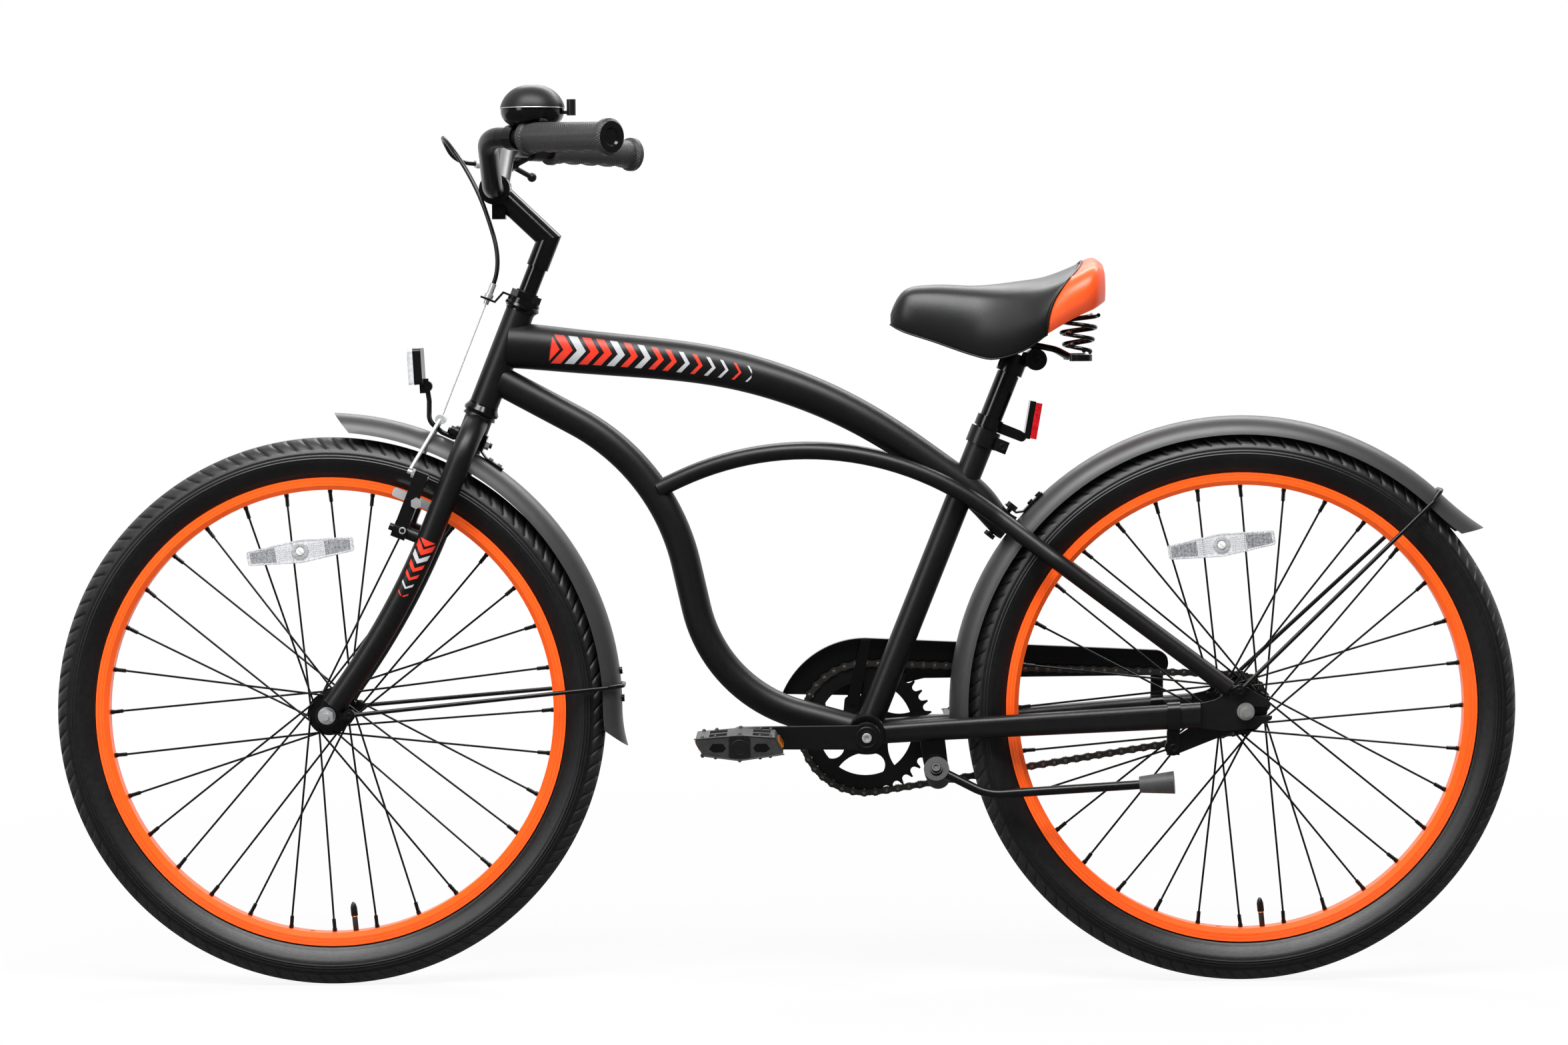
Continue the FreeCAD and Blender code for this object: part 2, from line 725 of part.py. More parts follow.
def chainstay_solid():
    """Drive-side chainstay, drawn in beside the chainring and spread round the tyre."""
    x_front = bracket.x + 8
    x_rear = rear_hub.x - stay_end_reach
    z_front = bottom_bracket_height
    z_rear = rear_hub.z - 4
    bend = bracket.x + ring_radius
    stations = [(x_front, chainstay_front_y), (x_front + 30, chainstay_front_y)]
    steps = 6
    for i in range(steps + 1):
        share = i / steps
        y = chainstay_front_y + (chainstay_rear_y - chainstay_front_y) * share
        stations.append((bend + (x_rear - bend) * share, y))
    sections = []
    for x, y in stations:
        share = (x - x_front) / (x_rear - x_front)
        tall = chainstay_front_height + (chainstay_rear_height - chainstay_front_height) * share
        sections.append(oval(V(x, y, z_front + (z_rear - z_front) * share), chainstay_width, tall))
    return Part.makeLoft(sections, True, False)


def make_fork():
    lug_low = fork_point(-cup_height - race_height - fork_lug_height)
    lug_high = fork_point(-cup_height - race_height)
    top = fork_point(head_length + upper_cup_height + 15)
    steerer = cylinder(lug_low, top, steerer_radius).fuse(cylinder(lug_low, lug_high, fork_lug_radius))
    race = lathe(lug_high, steer, [
        (0, steerer_radius), (0, cup_radius - 1.5), (race_height - 0.3, cup_radius - 3),
        (race_height - 0.3, steerer_radius)])
    bolt_hole = cylinder(fork_point(crown_bolt_along, -40), fork_point(crown_bolt_along, 40), 3.2)
    quill_room = cylinder(fork_point(-10), fork_point(head_length + 60), steerer_bore)
    steerer = steerer.fuse(race).removeSplitter().cut([quill_room, bolt_hole])
    lug = cylinder(lug_low, lug_high, fork_lug_radius)

    axle_along = (front_hub - head_low).dot(steer)
    rake = (front_hub - head_low).dot(ahead)
    shoulder = -cup_height - race_height - 25
    end_y = front_drop_inside + drop_plate / 2
    points = [
        fork_point(shoulder + 18, 0, 8), fork_point(shoulder, 0, blade_shoulder_y),
        fork_point(-240, 0, blade_shoulder_y + 3.5), fork_point(axle_along + 12, rake - 3, end_y),
    ]
    blade = rod(points, [blade_shoulder_radius, blade_rake_radius], blade_radius)
    tip = front_dropout()
    blade = blade.cut([lug, tip])
    blade = max(blade.Solids, key=lambda s: s.Volume)
    boss = cylinder(
        fork_point(brake_pivot_along, 6, brake_pivot_y),
        fork_point(brake_pivot_along, brake_ahead + 13, brake_pivot_y), 4.0)
    boss_root = cylinder(
        fork_point(brake_pivot_along, 6, brake_pivot_y),
        fork_point(brake_pivot_along, brake_ahead - 8.3, brake_pivot_y), 7.0)
    blade = blade.fuse([boss, boss_root]).removeSplitter()
    add("fork", steerer, blade, mirrored(blade), tip, mirrored(tip))


def front_eyelet():
    return front_hub + V(25, front_drop_inside, 0.5)


def front_dropout():
    """Fork end on the drive side: a round plate with a slot open at its foot, and the stay eyelet."""
    x = front_hub.x
    z = front_hub.z
    inside = front_drop_inside
    way = steer * -1
    plate = cylinder(front_hub + side * inside, front_hub + side * (inside + drop_plate), 13.0)
    root = [(x - 10, z + 2), (x - 2, z + 26), (x + 18, z + 40), (x + 33, z + 26), (x + 14, z - 6)]
    neck = prism(root, [0, 3, 3, 3, 0], inside, inside + drop_plate)
    eyelet = front_eyelet()
    boss = cylinder(eyelet, eyelet + side * 7, eyelet_radius)
    arm_outline = [(x, z - 5), (x, z + 6), (eyelet.x, eyelet.z + 5), (eyelet.x, eyelet.z - 5)]
    arm = prism(arm_outline, 0, inside, inside + drop_plate)
    slot_half = front_axle_radius + seat_gap
    slot = Part.makeBox(2 * slot_half, 20, 40, V(-slot_half, inside - 5, -40))
    slot.rotate(V(0, 0, 0), side, head_angle)
    slot.translate(V(x, 0, z))
    seat = cylinder(front_hub, front_hub + side * 90, front_axle_radius + seat_gap)
    hole = cylinder(eyelet - side * 10, eyelet + side * 20, 2.6)
    return plate.fuse([neck, arm, boss]).removeSplitter().cut([slot, seat, hole])


def make_headset():
    """Threaded race, cable hanger and locknut above the upper cup, and the hanger's cable adjuster."""
    bore = steerer_radius + thread_gap
    origin = fork_point(0)
    base = head_length + upper_cup_height + 0.3
    race = collar(origin, steer, base, base + 3.5, cup_radius - 1.5, bore)
    low = base + 3.5
    thick = 2.2
    washer = collar(origin, steer, low, low + thick, cup_radius - 2.5, bore)
    bend = [(15, low), (24, low), (29, hanger_along), (hanger_ahead + 8, hanger_along)]
    tongue = strip(head_plane(bend[::-1]), thick, -6.5, 6.5)
    hole = cylinder(fork_point(90, hanger_ahead), fork_point(150, hanger_ahead), 3.0)
    room = cylinder(fork_point(0), fork_point(head_length + 60), bore)
    hanger = washer.fuse(tongue).removeSplitter().cut([hole, room])
    locknut = hexagon(fork_point(low + thick), fork_point(low + thick + 7.5), 30).cut(room)
    barrel = lathe(fork_point(0, hanger_ahead), steer, [
        (hanger_along - 5, wire_radius + 0.35), (barrel_top, wire_radius + 0.35), (barrel_top, 3.6),
        (hanger_along + 7, 3.6), (hanger_along + 7, 5.0), (hanger_along + thick + 0.3, 5.0),
        (hanger_along + thick + 0.3, 3.0), (hanger_along - 5, 3.0)])
    add("headset_stack", race, hanger, locknut, barrel)


def make_stem():
    """Quill, mitred arm and split bar clamp with its pinch bolt."""
    top = head_length + stem_height
    elbow = fork_point(top)
    step = fork_point(top - 34)
    quill = cylinder(fork_point(head_length - quill_depth + 34), step, stem_radius)
    spine = Part.makePolygon([step, elbow, bar_centre])
    ring = Part.Wire(Part.Circle(step, steer, stem_arm_radius).toShape())
    arm = spine.makePipeShell([ring], True, False, 1)
    clamp = cylinder(bar_centre - side * 20, bar_centre + side * 20, bar_radius + 6.0)
    ear_box = Part.makeBox(15, 20, 34, V(bar_centre.x - 3.5, -10, bar_centre.z - 33))
    bolt_at = V(bar_centre.x + 4, 0, bar_centre.z - 25)
    bolt = cylinder(bolt_at - side * 10, bolt_at + side * 13, 3.0)
    head = hexagon(bolt_at - side * 14, bolt_at - side * 10, 9)
    slit = Part.makeBox(24, 2.0, 30, V(bar_centre.x - 11, -1, bar_centre.z - 40))
    bore = cylinder(bar_centre - side * 60, bar_centre + side * 60, bar_radius)
    body = quill.fuse([arm, clamp, ear_box]).removeSplitter()
    body = body.cut([bore, slit, cylinder(bolt_at - side * 30, bolt_at + side * 30, 3.0)])
    quill_foot = head_length - quill_depth
    expander = cylinder(fork_point(quill_foot + 14), fork_point(quill_foot + 33.9), stem_radius)
    add("stem", body, bolt.fuse(head).removeSplitter(), expander)


def bar_place(distance, out=0.0, down=0.0, sign=1):
    """A place beside the swept-back end of the bar, measured from its upper bend."""
    way = (bar_end - bar_rise_point).normalize()
    off = V(-way.y, way.x, 0).normalize()
    spot = bar_rise_point + way * distance + off * out - up * down
    return V(spot.x, spot.y * sign, spot.z)


def make_bar():
    knee = bar_centre + side * bar_straight
    half = [knee, bar_rise_point, bar_end]
    points = [V(p.x, -p.y, p.z) for p in reversed(half)] + half
    bar = rod(points, [bar_upper_bend, bar_lower_bend, bar_lower_bend, bar_upper_bend], bar_radius)
    add("handlebar", bar)
    way = (bar_end - bar_rise_point).normalize()
    start = (bar_end - bar_rise_point).Length - grip_length
    origin = bar_place(start)
    flange = grip_radius + 3.5
    bore = bar_radius + running_gap
    end = grip_length + seat_gap
    cap = grip_length + 6
    profile = [(0, bore), (end, bore), (end, 0), (cap - 2, 0), (cap - 2, 8), (cap, 10), (cap, flange - 3),
               (cap - 3, flange), (cap - 8, flange), (cap - 11, grip_radius)]
    profile.extend([(7, grip_radius), (5, flange - 1.5), (0, flange - 1.5)])
    off = bar_place(0, 1) - bar_place(0)
    pitch = (grip_length - 22) / finger_count
    fingers = []
    for i in range(finger_count):
        spot = bar_place(start + 11 + pitch * (i + 0.5), 0, grip_radius - finger_depth + finger_radius)
        fingers.append(cylinder(spot - off * 40, spot + off * 40, finger_radius))
    grip = lathe(origin, way, profile).cut(fingers)
    add("grips", grip, mirrored(grip))


def make_bell():
    """Bowl-shaped base on a bar clamp, domed cover, and the thumb lever in the seam."""
    at = bar_place(46, 0, 0, -1)
    way = bar_place(60, 0, 0, -1) - bar_place(40, 0, 0, -1)
    way.normalize()
    clamp = collar(at, way, -7, 7, bar_radius + 2.5, bar_radius)
    low = at.z + bar_radius + 0.6
    centre = V(bell_centre.x, bell_centre.y, low)
    r = bell_radius - 0.6
    tall = bell_base_height
    bowl = lathe(centre, up, [(0, 0), (0, 15), (tall - 3, r, 4.5, r - 5), (tall, r), (tall, 0)])
    post = cylinder(V(at.x, at.y, at.z + bar_radius - 1), V(at.x, at.y, low + 2), 6)
    room = cylinder(at - way * 30, at + way * 30, bar_radius)
    slot = Part.makeBox(50, 22, 4.4, V(10, -14, tall - 7))
    slot.translate(centre)
    pivot = centre + V(16, -4, 0)
    pin = cylinder(pivot + up * (tall - 8), pivot + up * (tall - 1), 2.0)
    grip_start = (bar_end - bar_rise_point).Length - grip_length
    room_ends = [bar_place(grip_start + a, 0, 0, -1) for a in (-0.4, 40)]
    grip_room = cylinder(room_ends[0], room_ends[1], grip_radius + 4)
    base = bowl.fuse([post, clamp]).removeSplitter().cut([room, slot, grip_room]).fuse(pin).removeSplitter()
    add("bell_base", base)
    dome_low = tall + 0.4
    shell = 1.6
    r = bell_radius
    h = bell_dome_height
    arc = sqrt(0.5)
    top = dome_low + h
    under = top - shell
    dome = lathe(centre, up, [
        (tall, 0), (tall, 3.0), (under, 3.0),
        (dome_low, r - shell, dome_low + (h - shell) * arc, (r - shell) * arc),
        (dome_low, r), (top, 2.0, dome_low + h * arc, r * arc), (top, 0),
    ])
    add("bell_dome", dome)
    arm = Part.makeBox(27, 7, 3.4, V(-4, -3.5, tall - 6.5))
    thumb = cylinder(V(25.5, -1, tall - 8), V(25.5, -1, tall + 9), 4.8)
    lever = arm.fuse(thumb).removeSplitter()
    lever.translate(pivot)
    add("bell_lever", lever.cut(cylinder(pivot, pivot + up * 40, 2.0 + running_gap)))
    print("bell lever pivot", pivot)


def make_brake_lever():
    """Clamp and pivot yoke on the right of the bar, its barrel adjuster, and the lever blade."""
    at = bar_place(45)
    way = (bar_end - bar_rise_point).normalize()
    drop = lever_drop
    ring = collar(at, way, -8, 8, bar_radius + 3.5, bar_radius)
    pivot = bar_place(30, 34, drop)
    neck = cylinder(bar_place(42, 4, 6), bar_place(33, 27, drop), 6.0)
    yoke = cylinder(pivot - up * 8, pivot + up * 8, 9.0)
    spine = cylinder(bar_place(34, 20, drop), bar_place(-5, 27, drop + 1), 6.0)
    bore = cylinder(bar_place(70), bar_place(20), bar_radius)
    sweep = cylinder(pivot - up * 3.5, pivot + up * 3.5, 14.5)
    corners = [bar_place(26, 30, drop - 3.5), bar_place(60, 4, drop - 3.5), bar_place(110, 20, drop - 3.5),
               bar_place(110, 90, drop - 3.5), bar_place(22, 60, drop - 3.5)]
    wedge = Part.Face(Part.makePolygon(corners + corners[:1])).extrude(up * -7)
    pin = cylinder(pivot - up * 7.5, pivot + up * 7.5, 2.5)
    body = ring.fuse([neck, yoke, spine]).removeSplitter().cut([bore, sweep, wedge])
    body = max(body.Solids, key=lambda s: s.Volume).fuse(pin).removeSplitter()
    barrel_in = bar_place(-5, 27, drop + 1)
    barrel_way = (bar_place(34, 20, drop) - barrel_in).normalize() * -1
    barrel = lathe(barrel_in, barrel_way, [
        (0, 0), (0, 4.0), (5, 4.0), (5, 5.5), (13, 5.5), (16, 4.4), (16, 0)])
    add("brake_bracket", body, barrel)

    hub = cylinder(pivot - up * 3.2, pivot + up * 3.2, 8.0)
    knee = bar_place(52, 49, drop)
    tip = bar_place(88, 52, drop + 12)
    blade = rod([pivot + (knee - pivot).normalize() * 4, knee, tip], [24], 3.1)
    ball = Part.makeSphere(5.5, tip)
    hole = cylinder(pivot - up * 20, pivot + up * 20, 2.5 + running_gap)
    add("brake_lever", hub.fuse([blade, ball]).removeSplitter().cut(hole))
    print("brake lever pivot", pivot)
    return barrel_in + barrel_way * 16, barrel_way


def make_cable(start, start_way):
    """Housing from the lever's adjuster, looped ahead of the bar, to the hanger's adjuster."""
    end = fork_point(barrel_top, hanger_ahead)
    points = [
        start, start + start_way * 26, bar_centre + V(-67, 92, 62), bar_centre + V(-59, 60, 57),
        bar_centre + V(-34, 35, 23), bar_centre + V(-13, 19, -19), end + steer * 24, end,
    ]
    radii = []
    for i in range(1, len(points) - 1):
        back = points[i - 1] - points[i]
        on = points[i + 1] - points[i]
        turn = pi - back.getAngle(on)
        radii.append(0.48 * min(back.Length, on.Length) / tan(turn / 2))
    housing = rod(points, radii, cable_radius)
    length = sum(e.Length for e in path(points, radii))
    print("cable radii", [round(r) for r in radii], "length", round(length))
    print("cable volume ratio", round(housing.Volume / (pi * cable_radius ** 2 * length), 4))
    bore = cylinder(end - steer * 2, end + steer * 9, wire_radius + 0.35)
    add("brake_cable", housing.cut(bore))


def make_front_brake():
    """Cantilever arms on the blade bosses, with pads beside the rim, and the carrier that pulls them."""
    pivot = fork_point(brake_pivot_along, brake_ahead, brake_pivot_y)
    root = brake_pivot_along
    tip = brake_pivot_along + brake_arm_length
    anchor = fork_point(tip, brake_ahead + 3, brake_pivot_y + 3)
    out = (fork_point(root + 27, brake_ahead - 6, 0) - front_hub).normalize()
    along = V(out.z, 0, -out.x)
    post_at = front_hub + out * (rim_radius - rim_depth / 2 + 0.5)
    pad_centre = post_at - along * 9
    pad_y = rim_width / 2 + brake_pad_gap

    outline = [
        (root - 2, -7.5), (tip - 8, -3), (tip + 6, 0.5), (tip + 6, 9), (root + 20, 9), (root - 2, 8.5)]
    corners = [fork_point(a, brake_ahead - 7.5, brake_pivot_y + b) for a, b in outline]
    body = Part.Face(Part.Wire(path(corners, [3, 12, 3, 3, 30, 3], True))).extrude(ahead * 15)
    hub = cylinder(pivot - ahead * 8, pivot + ahead * 8, 9.5)
    boss_room = cylinder(pivot - ahead * 20, pivot + ahead * 20, 4.0 + running_gap)
    post_start = V(post_at.x, pad_y + 8.5, post_at.z)
    post_end = V(post_at.x, brake_pivot_y + 14, post_at.z)
    post_room = cylinder(post_start - side * 5, post_end + side * 20, 3.0)
    anchor_room = cylinder(anchor - ahead * 30, anchor + ahead * 30, 2.5)
    arm = hub.fuse(body).removeSplitter().cut([boss_room, post_room, anchor_room])
    post = cylinder(post_start, post_end, 3.0)
    nut_start = V(post_at.x, brake_pivot_y + 9.1, post_at.z)
    nut = hexagon(nut_start, nut_start + side * 4.5, 11).cut(post_room)

    def pad_block(half_long, half_tall, y_start, y_end):
        spots = [pad_centre + along * a + out * b for a, b in (
            (-half_long, -half_tall), (-half_long, half_tall),
            (half_long, half_tall), (half_long, -half_tall))]
        return prism([(p.x, p.z) for p in spots], 3, y_start, y_end)

    holder = pad_block(22, 5, pad_y + 4.5, pad_y + 8.5)
    rubber = pad_block(21, 4.5, pad_y, pad_y + 4.5)
    pin = cylinder(anchor - ahead * 11, anchor + ahead * 13, 2.5)
    pin_nut = hexagon(anchor + ahead * 4.6, anchor + ahead * 7.9, 9).cut(anchor_room)
    pieces = [arm, post, nut, holder, rubber, pin, pin_nut]
    add("brake_arm_right", *pieces)
    add("brake_arm_left", *[mirrored(p) for p in pieces])

    centre = fork_point(carrier_along, hanger_ahead)
    wire = cylinder(centre, fork_point(hanger_along + 12, hanger_ahead), wire_radius)
    body = cylinder(centre - side * 14, centre + side * 14, 5.5)
    links = []
    for sign in (-1, 1):
        upper = centre + side * (sign * 12)
        lower = V(anchor.x, sign * anchor.y, anchor.z) + ahead * 11.2
        way = (lower - upper).normalize()
        links.append(cylinder(upper, lower - way * 3.4, 2.2))
    add("brake_carrier", body.fuse(links + [wire]).removeSplitter())
    print("brake pivot", pivot, "anchor", anchor)


def fender_profile(centre, angle, outer):
    """Closed section of the rolled sheet at one angle round the wheel."""
    half = fender_half_width
    low = outer - fender_depth
    t = fender_sheet

    def spot(y, radius):
        return polar(centre, radius, angle, y)

    edges = [
        Part.Arc(spot(-half, low), spot(0, outer), spot(half, low)).toShape(),
        Part.LineSegment(spot(half, low), spot(half - t, low)).toShape(),
        Part.Arc(spot(half - t, low), spot(0, outer - t), spot(-half + t, low)).toShape(),
        Part.LineSegment(spot(-half + t, low), spot(-half, low)).toShape(),
    ]
    return Part.Face(Part.Wire(edges))


def fender(centre, radius, start, end, flick_radius, flick, cuts):
    """Rolled fender with a tail that flicks outwards; each cut trims beyond a crown and a skirt place."""
    face = fender_profile(centre, start, radius)
    body = face.revolve(centre, side, end - start)
    pivot = polar(centre, radius + flick_radius, end)
    tail = fender_profile(centre, end, radius).revolve(pivot, side, -flick)
    whole = body.fuse(tail).removeSplitter()
    for crown, skirt, sign in cuts:
        crown_at = polar(centre, crown[0], crown[1])
        way = (polar(centre, skirt[0], skirt[1]) - crown_at).normalize()
        beyond = V(-way.z, 0, way.x) * sign
        corners = [crown_at - way * 20, crown_at + way * 60]
        corners += [corners[1] + beyond * 60, corners[0] + beyond * 60]
        whole = whole.cut(prism([(c.x, c.z) for c in corners], 0, -50, 50))
    return max(whole.Solids, key=lambda s: s.Volume)


def fender_stay(centre, radius, eyelet, boss, angle):
    """One wire bent over the outside of the fender, with an eye and a screw at each end."""
    gap = stay_wire_radius + 0.1
    low = fender_half_width + gap + 0.6
    over = polar(centre, radius - fender_depth + 6, angle, low)
    foot = eyelet + side * (boss + 2.6)
    start = foot + (over - foot).normalize() * 5.0
    half = [start, over, polar(centre, radius + gap, angle, 17.0)]
    points = half + [V(p.x, -p.y, p.z) for p in reversed(half)]
    wire = rod(points, [9, 12, 12, 9], stay_wire_radius)
    eyes = []
    screws = []
    for sign in (-1, 1):
        spot = V(eyelet.x, sign * eyelet.y, eyelet.z)
        way = side * sign
        eyes.append(collar(spot, way, boss, boss + 4, 6.5, 2.5))
        screw = cylinder(spot - way * 1.5, spot + way * (boss + 4), 2.5)
        screw_head = cylinder(spot + way * (boss + 4), spot + way * (boss + 7), 4.5)
        screws.append(screw.fuse(screw_head).removeSplitter())
    return [wire.fuse(eyes).removeSplitter()] + screws


def make_fenders():
    r = rear_fender_radius
    rear = fender(rear_hub, r, -4.0, 133.8, 307.0, 10.9, [((r + 10.7, 143.7), (r - 13.8, 141.6), 1)])
    stay_points, stay_radii = stay_line()
    stay_room = rod(stay_points, stay_radii, stay_radius + 2 * seat_gap)
    rear = max(rear.cut([stay_room, mirrored(stay_room)]).Solids, key=lambda s: s.Volume)
    add("rear_fender", rear)
    solids = fender_stay(rear_hub, rear_fender_radius, rear_eyelet(), 8.0, 132.6)
    reach = rear_fender_radius + 0.2
    lower = tail_bolt_high - tail_bolt_way * 5.0
    across_bolt = V(tail_bolt_way.z, 0, -tail_bolt_way.x)
    spots = [lower - across_bolt * 7, lower + across_bolt * 8,
             polar(rear_hub, reach, 42.2), polar(rear_hub, reach, 44.6),
             polar(rear_hub, reach, 47.4)]
    tongue = strip([(p.x, p.z) for p in spots], 2.0, -8, 8)
    bolt = cylinder(tail_bolt_low, tail_bolt_high, 3.0)
    head = hexagon(tail_bolt_high - tail_bolt_way * 3.0, tail_bolt_high + tail_bolt_way * 1.5, 11)
    nut = hexagon(tail_bolt_low, tail_bolt_low + tail_bolt_way * 5, 11)
    solids.append(tongue.cut(bolt))
    solids.append(bolt.fuse([head, nut]).removeSplitter())
    for angle in (44.5, 46.6):
        foot, head = [polar(rear_hub, reach + a, angle) for a in (2.1, 4.2)]
        solids.append(cylinder(foot, head, 3.6))
    add("rear_fender_stay", *solids)

    r = front_fender_radius
    front = fender(front_fender_centre, r, 88.0, 180.3, 150.0, 17.4, [
        ((r, 91.8), (r - 22.1, 95.6), -1), ((r + 10.3, 187.8), (r - 13.1, 185.4), 1)])
    add("front_fender", front)
    solids = fender_stay(front_fender_centre, front_fender_radius, front_eyelet(), 7.0, 176.0)
    for angle in (173.2, 178.6):
        solids.append(cylinder(
            polar(front_fender_centre, r, angle), polar(front_fender_centre, r + 2.5, angle), 4.0))
    add("front_fender_stay", *solids)


def make_crown_brackets():
    """Crown bolt with the fender tongue behind it, and ahead of it the front reflector's arm and holder."""
    along = crown_bolt_along
    face = fork_lug_radius + 0.1
    bolt = cylinder(fork_point(along, -25), fork_point(along, 27), 3.0)
    bolt_room = cylinder(fork_point(along, -60), fork_point(along, 27.2), 3.0)
    spots = [fork_point(along + 9, -face), fork_point(along - 10, -face)]
    spots += [polar(front_fender_centre, front_fender_radius + 0.2, a) for a in (122.8, 124.6, 126.8)]
    tongue = strip([(p.x, p.z) for p in spots], 1.8, -8, 8).cut(bolt_room)
    nut = hexagon(fork_point(along, -face - 6.6), fork_point(along, -face - 1.9), 10).cut(bolt_room)
    rivets = []
    for angle in (123.8, 125.8):
        reach = front_fender_radius + 2.1
        foot, head = [polar(front_fender_centre, reach + a, angle) for a in (0, 2.2)]
        rivets.append(cylinder(foot, head, 2.6))
    bends = ((along - 6, 17), (along - 5.5, 32), (along + 1, 50), (along + 22, 58), (along + 34, 65))
    arm = rod([fork_point(a, b) for a, b in bends], [9, 14, 12], 2.8)
    pad = cylinder(fork_point(along, face), fork_point(along, face + 3.8), 8.0)
    knuckle_at = fork_point(along + 36, 66)
    knuckle = cylinder(knuckle_at - side * 5, knuckle_at + side * 5, 6.0)
    front_nut = hexagon(fork_point(along, face + 3.9), fork_point(along, face + 9), 10)
    arm = arm.fuse([pad, knuckle]).removeSplitter().cut([bolt_room, front_nut])
    arm = max(arm.Solids, key=lambda s: s.Volume)

    tilt = -3.0
    holder = Part.makeBox(9, 46, 40, V(-4, -23, 0))
    holder = holder.makeFillet(4, [e for e in holder.Edges if abs(e.tangentAt(e.FirstParameter).x) > 0.9])
    holder = holder.fuse(Part.makeBox(10, 9, 16, V(0, -4.5, -10))).removeSplitter()
    holder.rotate(V(0, 0, 0), side, tilt)
    holder.translate(reflector_foot)
    holder = max(holder.cut(arm).Solids, key=lambda s: s.Volume)
    add("crown_bracket", bolt, tongue, nut, *rivets, arm, front_nut.cut(bolt_room), holder)
    lens = Part.makeBox(6, 50, 41, V(-10, -25, -0.5))
    lens = lens.makeFillet(4, [e for e in lens.Edges if abs(e.tangentAt(e.FirstParameter).x) > 0.9])
    lens.rotate(V(0, 0, 0), side, tilt)
    lens.translate(reflector_foot)
    add("front_reflector_lens", lens)


def make_crank():
    """Spindle, arms, pedal axles; the left arm points forward."""
    reach = crank_inside_y + crank_thickness
    solids = [cylinder(bracket - side * reach, bracket + side * reach, spindle_radius)]
    tips = {}
    for sign in (-1, 1):
        way = V(sign, 0, 0)
        y0 = sign * crank_inside_y
        y1 = sign * reach
        tip = bracket + way * crank_length
        tips[sign] = tip
        eye = cylinder(bracket + side * y0, bracket + side * y1, crank_eye_radius)
        end = cylinder(tip + side * y0, tip + side * y1, crank_tip_radius)
        a = crank_eye_radius - 3
        b = crank_tip_radius - 0.5
        web = prism([
            (bracket.x, bracket.z - a), (tip.x, tip.z - b),
            (tip.x, tip.z + b), (bracket.x, bracket.z + a)], 0, y0, y1)
        spindle_room = cylinder(bracket - side * 100, bracket + side * 100, spindle_radius + thread_gap)
        axle_room = cylinder(tip - side * 100, tip + side * 100, pedal_axle_radius + 1 + thread_gap)
        solids.append(eye.fuse([end, web]).removeSplitter().cut([spindle_room, axle_room]))
        root = cylinder(tip + side * y0, tip + side * y1, pedal_axle_radius + 1)
        neck_end = y1 + sign * (pedal_gap + pedal_width - 4)
        neck = cylinder(tip + side * y1, tip + side * neck_end, pedal_axle_radius)
        solids.append(root.fuse(neck).removeSplitter())
        solids.append(cylinder(bracket + side * y1, bracket + side * (y1 + sign * 1.5), spindle_radius + 2))
    ring_face = chainline + ring_thickness / 2
    spider = collar(bracket, side, ring_face, crank_inside_y, 20.0, spindle_radius + thread_gap)
    solids.append(spider)
    add("cranks", *solids)
    for sign, name in ((-1, "pedal_left"), (1, "pedal_right")):
        make_pedal(name, tips[sign], sign)


def make_pedal(name, tip, sign):
    """Moulded platform with slanted ends, open windows and a sleeve round the axle."""
    start = crank_inside_y + crank_thickness + pedal_gap
    end = start + pedal_width
    outline = [(-49, 9), (0, 13), (38, 10.5), (48, -7.5), (0, -14), (-39, -9)]
    corners = [(tip.x + u, tip.z + w) for u, w in outline]
    block = prism(corners, [2, 30, 2, 2, 30, 2], sign * start, sign * end)
    windows = []
    for x0, x1 in ((-33, -14), (14, 33)):
        for y0, y1 in ((10, 40), (48, 78)):
            box = Part.makeBox(x1 - x0, y1 - y0, 60, V(tip.x + x0, 0, tip.z - 30))
            box.translate(V(0, start + y0 if sign > 0 else -start - y1, 0))
            windows.append(box)
    bore_ends = [tip + side * sign * y for y in (start - 5, end - 3.8)]
    bore = cylinder(bore_ends[0], bore_ends[1], pedal_axle_radius + running_gap)
    add(name, block.cut(windows + [bore]))
    lenses = []
    for outer, w0, w1 in ((-1, 9, -9), (1, 10.5, -7.5)):
        top = -49 if outer < 0 else 38
        low = -39 if outer < 0 else 48
        way = V(low - top, 0, w1 - w0).normalize()
        off = V(-way.z, 0, way.x) * (1 if outer > 0 else -1)
        if off.x * outer < 0:
            off = off * -1
        middle = V(tip.x + (top + low) / 2, 0, tip.z + (w0 + w1) / 2) + off * 0.15
        corners = [middle + way * 5, middle - way * 5]
        corners += [middle - way * 5 + off * 2.2, middle + way * 5 + off * 2.2]
        lenses.append(prism([(c.x, c.z) for c in corners], 0, sign * (start + 20), sign * (end - 20)))
    add(name + "_reflectors", *lenses)


